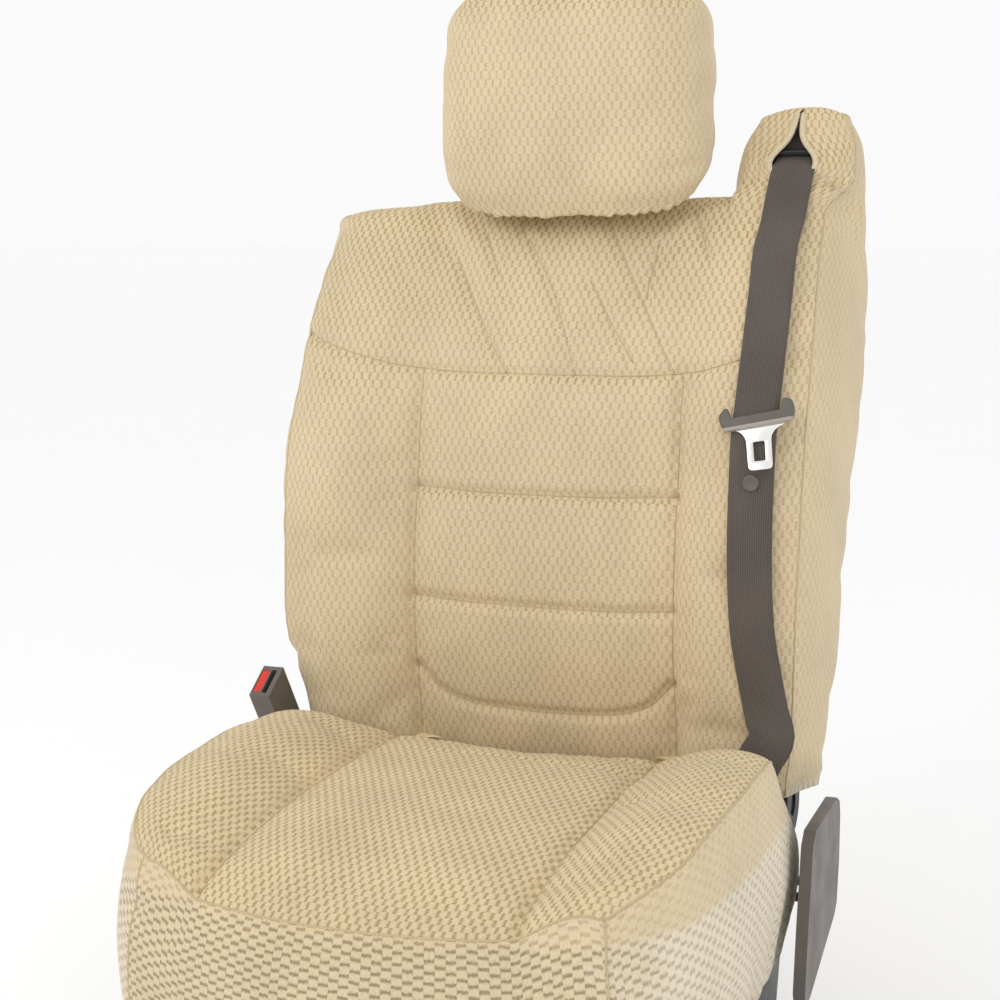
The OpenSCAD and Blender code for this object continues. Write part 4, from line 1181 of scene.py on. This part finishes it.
def clear_buckle(cover):
    """Keeps the lower left edge of the cover beside the buckle as it swings."""
    points = read_points(cover)
    out = np.maximum(smooth(points[:, 2], *BUCKLE_TOP), smooth(points[:, 1], *BUCKLE_REAR))
    points[:, 0] = np.maximum(points[:, 0], BUCKLE_SIDE_X - 0.050 * out)
    write_points(cover, points)


def bind_opening(cover):
    """Rolled binding along both edges of the opening in the sleeve."""
    mesh = bmesh.new()
    mesh.from_mesh(cover.data)
    rim = [v.co.copy() for v in mesh.verts
           if v.is_boundary and v.co.z > 0.970 and abs(v.co.x - SLIT_X) < 0.030]
    mesh.free()
    paths = []
    for side in (-1, 1):
        edge = sorted((tuple(co) for co in rim if (co.x - SLIT_X) * side > 0.0015),
                      key=lambda co: co[2])
        edge = np.array(edge)[::2]
        edge[:, 1] -= 0.001
        paths.append(edge)
    made = tube("sleeve_binding", paths, "cover_edge", 0.0030, sides=10, squash=0.8,
                step=0.003, taper=0.4)
    made.data.materials[0] = MATERIALS["cover_binding"]
    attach(made, "backrest")


def finish_back_cover():
    cover = build_back_cover()
    inflate(cover, pressure=2.6, most=0.008)
    subdivide(cover)
    crumple(cover, 0.0016, 0.075, 11, lambda points, _: points[:, 2] > 0.35)
    yoke, pleats, channels = eased([YOKE_SEAM]), eased(YOKE_PLEATS), eased(CHANNELS)
    for lines, depth, width, pucker, seed in (
            (INSERT_SEAMS + yoke, 0.0045, 0.0050, 0.0011, 21),
            (channels, 0.0060, 0.0055, 0.0012, 31), (pleats, 0.0026, 0.0045, 0.0008, 41)):
        press_seams(cover, XZ, lines, below_sleeve, depth, width, pucker, seed)
    wrinkle(cover, *INSERT_CREASE, below_sleeve)
    for crease in SLEEVE_CREASES:
        wrinkle(cover, *crease, faces_front)
    clear_belt(cover)
    clear_buckle(cover)
    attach(cover, "backrest")
    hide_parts("back_insert_cover", "back_bolster_cover_left",
                "back_bolster_cover_right", "back_yoke_cover", "back_side_cover_left",
                "back_side_cover_right", "back_rear_cover", "back_crown_cover",
                "tower_sleeve", "back_hem_elastic")
    sew_details(cover, "back_seams", XZ,
                INSERT_SEAMS + yoke + channels + pleats, (0, 1, 0), "backrest")
    bind_opening(cover)
    side_seams = [[back_ring(z, np.array([key]))[0] for z in np.linspace(0.338, 0.932, 24)]
                  for key in (KEYS[3], KEYS[15])]
    side_seams[1] += SLEEVE_SEAM
    edge_seam(cover, "back_side_seams", side_seams, "backrest")
    return cover


def finish_cushion_cover():
    cover = build_cushion_cover()
    inflate(cover, pressure=2.6, most=0.008)
    subdivide(cover)
    crumple(cover, 0.0013, 0.080, 51)
    press_seams(cover, XY, CUSHION_SEAMS, faces_up, depth=0.0045, width=0.0050,
                pucker=0.0010, seed=61)
    press_seams(cover, XY, CUSHION_CHANNELS, faces_up, depth=0.0030, width=0.0050,
                pucker=0.0008, seed=71)
    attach(cover, "seat_base")
    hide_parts("cushion_insert_cover", "cushion_bolster_cover_left",
                "cushion_bolster_cover_right", "cushion_boxing_cover", "cushion_rear_flap",
                "cushion_hem_elastic")
    sew_details(cover, "cushion_seams", XY, CUSHION_SEAMS + CUSHION_CHANNELS, (0, 0, -1),
                "seat_base")
    top = cushion_top()
    welt = np.concatenate([top[::-4, 0], top[0, 3:-3:4], top[::4, -1]])
    corners = [[(side * 0.214, -0.273, 0.362), (side * 0.218, -0.279, 0.290),
                (side * 0.217, -0.277, 0.205)] for side in (-1, 1)]
    edge_seam(cover, "cushion_welt", [welt] + corners, "seat_base", 0.0012)
    return cover


def finish_head_cover():
    cover = build_head_cover()
    inflate(cover, pressure=3.0, most=0.006)
    subdivide(cover)
    crumple(cover, 0.0010, 0.060, 81)
    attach(cover, "headrest")
    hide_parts("headrest_cover")
    return cover


# ---- Belt ----

BELT_X = 0.231
WEB_W, WEB_T = 0.046, 0.0016
BELT_SLOPE = 0.485


def belt_y(z):
    return 0.1725 + (z - 0.710) * BELT_SLOPE


BELT_ROUTE = [
    (0.236, 0.391, 0.732), (0.236, 0.385, 0.800), (0.236, 0.377, 0.980),
    (0.236, 0.3712, 1.0138), (0.236, 0.365, 1.0162), (0.236, 0.3568, 1.008),
    (0.236, 0.346, 0.992), (0.2355, 0.322, 0.978), (0.2345, 0.302, 0.952),
    (0.233, 0.286, 0.925)]
BELT_ROUTE += [(BELT_X, belt_y(z), z) for z in (0.90, 0.85, 0.80, 0.75, 0.71)]
BELT_ROUTE += [(0.231, 0.1665, 0.670), (0.231, 0.1625, 0.620), (0.2325, 0.1605, 0.560),
               (0.2365, 0.1605, 0.510), (0.2445, 0.1620, 0.465), (0.2520, 0.1620, 0.430),
               (0.2590, 0.1575, 0.407), (0.2480, 0.1570, 0.385), (0.2350, 0.1600, 0.355),
               (0.2355, 0.1630, 0.301)]


# Corners of the webbing's section: shares of its width and of its thickness
WEB_SECTION = [(-0.5, 0), (-0.49, 0.5), (-0.3, 0.5), (0, 0.5), (0.3, 0.5), (0.49, 0.5),
               (0.5, 0), (0.49, -0.5), (0.3, -0.5), (0, -0.5), (-0.3, -0.5), (-0.49, -0.5)]
WEB_CUP, WEB_SWAY, WEB_STEP = 0.0006, 0.0008, 0.006


def webbing_strip(name, route):
    """Flat webbing along a route, with rounded edges and cloth coordinates."""
    path = rounded_path(route, WEB_STEP)
    verts, cloth = [], []
    for i, (centre, tangent) in enumerate(zip(path, path_tangents(path))):
        side = np.array([1.0, 0, 0])
        side = side - tangent * (side @ tangent)
        side /= np.linalg.norm(side)
        over = np.cross(side, tangent)
        sway = WEB_SWAY * math.sin(i * WEB_STEP / 0.045)
        for s, t in WEB_SECTION:
            bend = WEB_CUP * (4 * s * s - 0.5) + sway * s
            verts.append(centre + side * s * WEB_W + over * (t * WEB_T + bend))
            cloth.append((s * WEB_W + (0.1 if t < 0 else 0), i * WEB_STEP))
    return cloth_mesh(name, verts, hoop_faces(0, len(path), len(WEB_SECTION)), cloth, "webbing")


def build_belt():
    belt = webbing_strip("belt", BELT_ROUTE)
    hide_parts("shoulder_webbing", "lower_webbing")
    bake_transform(belt)
    stop = lathe("belt_stop", [(0, 0.0016), (0.0045, 0.0018), (0.0062, 0.0030), (0.0078, 0.0030),
                               (0.0085, 0.0018), (0.0085, 0)], "grey_plastic",
                 (BELT_X, 0.1647, 0.664), (0, -1, 0.08))
    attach(stop, "backrest")


def placed_mesh(name, mesh, place, slot):
    """A smooth object from a bmesh, with its doubled points joined."""
    bmesh.ops.remove_doubles(mesh, verts=mesh.verts, dist=1e-6)
    bmesh.ops.recalc_face_normals(mesh, faces=mesh.faces)
    data = bpy.data.meshes.new(name)
    mesh.to_mesh(data)
    mesh.free()
    data.transform(place)
    data.materials.clear()
    data.polygons.foreach_set("use_smooth", [True] * len(data.polygons))
    return new_object(name, data, slot)


def lathe(name, profile, slot, at, axis, sides=40):
    """A turned piece: radius and height pairs about an axis."""
    verts = [(r * math.cos(2 * math.pi * k / sides), r * math.sin(2 * math.pi * k / sides), h)
             for r, h in profile for k in range(sides)]
    faces = [(i * sides + k, i * sides + (k + 1) % sides, (i + 1) * sides + (k + 1) % sides,
              (i + 1) * sides + k) for i in range(len(profile) - 1) for k in range(sides)]
    faces.append(tuple((len(profile) - 1) * sides + k for k in range(sides)))
    mesh = bmesh.new()
    points = [mesh.verts.new(v) for v in verts]
    for face in faces:
        mesh.faces.new([points[k] for k in face])
    place = Vector(axis).to_track_quat("Z", "Y").to_matrix().to_4x4()
    place.translation = Vector(at)
    return placed_mesh(name, mesh, place, slot)


# ---- Latch plate and belt guide: flat parts with rounded corners ----


def rounded_outline(corners, radius):
    """A closed outline with its corners rounded, as far as its sides allow."""
    corners = np.asarray(corners, float)
    out = []
    for before, at, after in zip(np.roll(corners, 1, axis=0), corners,
                                 np.roll(corners, -1, axis=0)):
        into, away = before - at, after - at
        reach = min(radius, 0.48 * np.linalg.norm(into), 0.48 * np.linalg.norm(away))
        start = at + reach * into / np.linalg.norm(into)
        end = at + reach * away / np.linalg.norm(away)
        for t in np.linspace(0, 1, 6):
            out.append((1 - t)**2 * start + 2 * t * (1 - t) * at + t**2 * end)
    return out


def flat_parts(name, slot, place, parts):
    """One mesh of plates: each part is (outlines, back, front, rim), holes among the outlines."""
    mesh = bmesh.new()
    for outlines, back, front, rim in parts:
        outline = bpy.data.curves.new(name + "_outline", "CURVE")
        outline.dimensions, outline.fill_mode = "2D", "BOTH"
        outline.extrude = (front - back) / 2 - rim
        outline.bevel_depth, outline.bevel_resolution, outline.offset = rim, 3, -rim
        for points in outlines:
            spline = outline.splines.new("POLY")
            spline.points.add(len(points) - 1)
            for point, (u, v) in zip(spline.points, points):
                point.co = (u, v, 0, 1)
            spline.use_cyclic_u = True
        shape = bpy.data.objects.new(name + "_outline", outline)
        SCENE.collection.objects.link(shape)
        graph = bpy.context.evaluated_depsgraph_get()
        plate = bpy.data.meshes.new_from_object(shape.evaluated_get(graph))
        plate.transform(Matrix.Translation((0, 0, (front + back) / 2)))
        mesh.from_mesh(plate)
        bpy.data.objects.remove(shape)
    made = placed_mesh(name, mesh, place, slot)
    split = made.modifiers.new("edges", "EDGE_SPLIT")
    split.split_angle = math.radians(40)
    return made


def plane_at(at, up, turn=0.0):
    """Local X across, Y along up and Z out of the front, turned in its own plane."""
    up = Vector(up).normalized()
    right = Vector((1, 0, 0))
    frame_of = Matrix((right, up, right.cross(up))).transposed().to_4x4()
    return Matrix.Translation(at) @ frame_of @ Matrix.Rotation(turn, 4, "Z")


# Outlines in the plane of the belt: across and up it, from the middle of the latch
LATCH_AT = (0.235, 0.1769, 0.719)
SHELL_TILT, TONGUE_TILT = math.radians(13), math.radians(10)
SHELL = [(-0.0345, 0.003), (-0.032, 0), (0.034, 0), (0.037, 0.004), (0.039, 0.014),
         (0.037, 0.021), (0.032, 0.024), (0.0275, 0.023), (0.0255, 0.012), (-0.0255, 0.012),
         (-0.0275, 0.023), (-0.031, 0.0235), (-0.035, 0.019), (-0.0365, 0.011)]
SHELL_EAR = [(0.0252, 0.002), (0.036, 0.004), (0.0385, 0.014), (0.036, 0.020), (0.032, 0.0235),
             (0.0275, 0.0225)]
SHELL_LIP = [(-0.034, -0.0018), (0.0345, -0.0018), (0.037, 0.0022), (-0.036, 0.0022)]
TONGUE = [(-0.026, 0.003), (-0.026, -0.002), (-0.0180, -0.0045), (-0.0128, -0.0120),
          (-0.0122, -0.0470), (0.0122, -0.0470), (0.0128, -0.0120), (0.0180, -0.0045),
          (0.026, -0.002), (0.026, 0.003)]
TONGUE_HOLE = [(-0.0058, -0.0170), (0.0058, -0.0170), (0.0056, -0.0375), (-0.0056, -0.0375)]

REAR_BAR = [(-0.035, 0.003), (0.036, 0.003), (0.036, 0.011), (-0.035, 0.011)]
# Depths of the plates: back, front, and the rounding of their rims
SHELL_DEPTH, LIP_DEPTH = (0.0020, 0.0082, 0.0016), (0.0040, 0.0096, 0.0011)
EAR_DEPTH, BAR_DEPTH = (-0.0036, 0.0060, 0.0014), (-0.0036, -0.0016, 0.0006)
TONGUE_DEPTH = (0.0024, 0.0050, 0.0005)


def build_latch():
    slope = (0, BELT_SLOPE, 1)
    shell_place = plane_at(LATCH_AT, slope, SHELL_TILT)
    ear = rounded_outline(SHELL_EAR, 0.004)
    other_ear = [(-u, v) for u, v in ear]
    shell = flat_parts("latch_body", "grey_plastic", shell_place, [
        ([rounded_outline(SHELL, 0.004)], *SHELL_DEPTH),
        ([ear], *EAR_DEPTH), ([other_ear], *EAR_DEPTH),
        ([rounded_outline(REAR_BAR, 0.002)], *BAR_DEPTH)])
    lip = flat_parts("latch_lip", "grey_plastic", shell_place,
                     [([rounded_outline(SHELL_LIP, 0.0012)], *LIP_DEPTH)])
    lip.data.materials[0] = MATERIALS["worn_plastic"]
    tongue = flat_parts("latch_plate", "bright_steel", plane_at(LATCH_AT, slope, TONGUE_TILT), [
        ([rounded_outline(TONGUE, 0.006), rounded_outline(TONGUE_HOLE, 0.0018)],
         *TONGUE_DEPTH)])
    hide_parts("latch_shell")
    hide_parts("latch_tongue")
    for made in (shell, lip, tongue):
        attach(made, "latch")


GUIDE_AT, GUIDE_UP = (0.236, 0.345, 0.9915), (0, 0.5, -0.866)
GUIDE = [(-0.0245, -0.0085), (0.0245, -0.0085), (0.0245, 0.0085), (-0.0245, 0.0085)]
GUIDE_HOLE = [(-0.0235, -0.0030), (0.0235, -0.0030), (0.0235, 0.0030), (-0.0235, 0.0030)]
GUIDE_DEPTH = (-0.0035, 0.0035, 0.0012)


def build_guide():
    guide = flat_parts("webbing_guide", "dark_plastic", plane_at(GUIDE_AT, GUIDE_UP), [
        ([rounded_outline(GUIDE, 0.006), rounded_outline(GUIDE_HOLE, 0.002)], *GUIDE_DEPTH)])
    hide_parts("belt_guide")
    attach(guide, "backrest")


# ---- CAD nodes that stay, and foam ----

# Material of each CAD node that is shown, and the width of its rounded edges in millimetres
STAYING = {
    "track_steel": {"lower_rails": 0.8, "rail_feet": 0.8},
    "frame_steel": {
        "upper_rails": 0.6, "side_frame_left": 0.8, "side_frame_right": 0.8,
        "front_cross_tube": 0.5, "rear_cross_tube": 0.5, "cushion_pan": 0.6,
        "frame_hooks": 0.4, "recliner_housings": 1.2, "recliner_shaft": 0.5,
        "recliner_pivots": 1.0, "track_bar_grip": 0, "track_bar_arms": 0, "belt_anchor": 0.6,
        "buckle_anchor_bolt": 0.6, "back_hinge_plates": 0.8, "back_side_tube": 0.6,
        "back_upper_tube": 0.6, "tower_column": 0.8, "suspension_wires": 0,
        "post_bushings": 0.5, "headrest_armature": 1.0, "buckle_stalk": 0.4,
        "belt_retractor": 0.6},
    "bright_steel": {"guide_roller": 0.6, "headrest_posts": 0.4},
    "dark_plastic": {"post_sleeves": 0.6, "height_button": 0.8, "recline_lever": 1.8},
    "grey_plastic": {"side_shield_left": 1.2, "side_shield_right": 1.2,
                     "buckle_housing": 2.4},
    "red_button": {"buckle_button": 1.4}}


def finish_cad_nodes():
    for slot, nodes in STAYING.items():
        for node, width in nodes.items():
            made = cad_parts[node]
            made.data.materials.clear()
            made.data.materials.append(MATERIALS[slot])
            if width:
                bevelled(made, width / 1000)


# How far the foam stays inside its cover, and how often its points are checked for that
FOAM_GAP, TUCK_PASSES = 0.011, 4


def build_foam(node, body, cover):
    """Foam block: the CAD block with its edges rounded and an open-cell skin."""
    made = new_object(node + "_block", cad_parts[node].data.copy(), "foam")
    made.data.materials.clear()
    made.data.materials.append(MATERIALS["foam"])
    mesh = bmesh.new()
    mesh.from_mesh(made.data)
    bmesh.ops.remove_doubles(mesh, verts=mesh.verts, dist=1e-5)
    bmesh.ops.subdivide_edges(mesh, edges=mesh.edges, cuts=2, use_grid_fill=True)
    mesh.to_mesh(made.data)
    mesh.free()
    surface = surface_of(cover)
    points = read_points(made) - 0.3 * FOAM_GAP * read_normals(made)
    for _ in range(TUCK_PASSES):
        for k, point in enumerate(points):
            near, normal, _, _ = surface.find_nearest(Vector(point))
            if (near - Vector(point)).dot(normal) < FOAM_GAP:
                points[k] = near - FOAM_GAP * normal
    write_points(made, points)
    bevelled(made, 0.003)
    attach(made, body)
    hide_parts(node)


add_camera()
add_studio()
finish_cad_nodes()
back_cover = finish_back_cover()
cushion_cover = finish_cushion_cover()
head_cover = finish_head_cover()
build_belt()
build_latch()
build_guide()
build_foam("cushion_foam", "seat_base", cushion_cover)
build_foam("back_foam", "backrest", back_cover)
build_foam("headrest_foam", "headrest", head_cover)
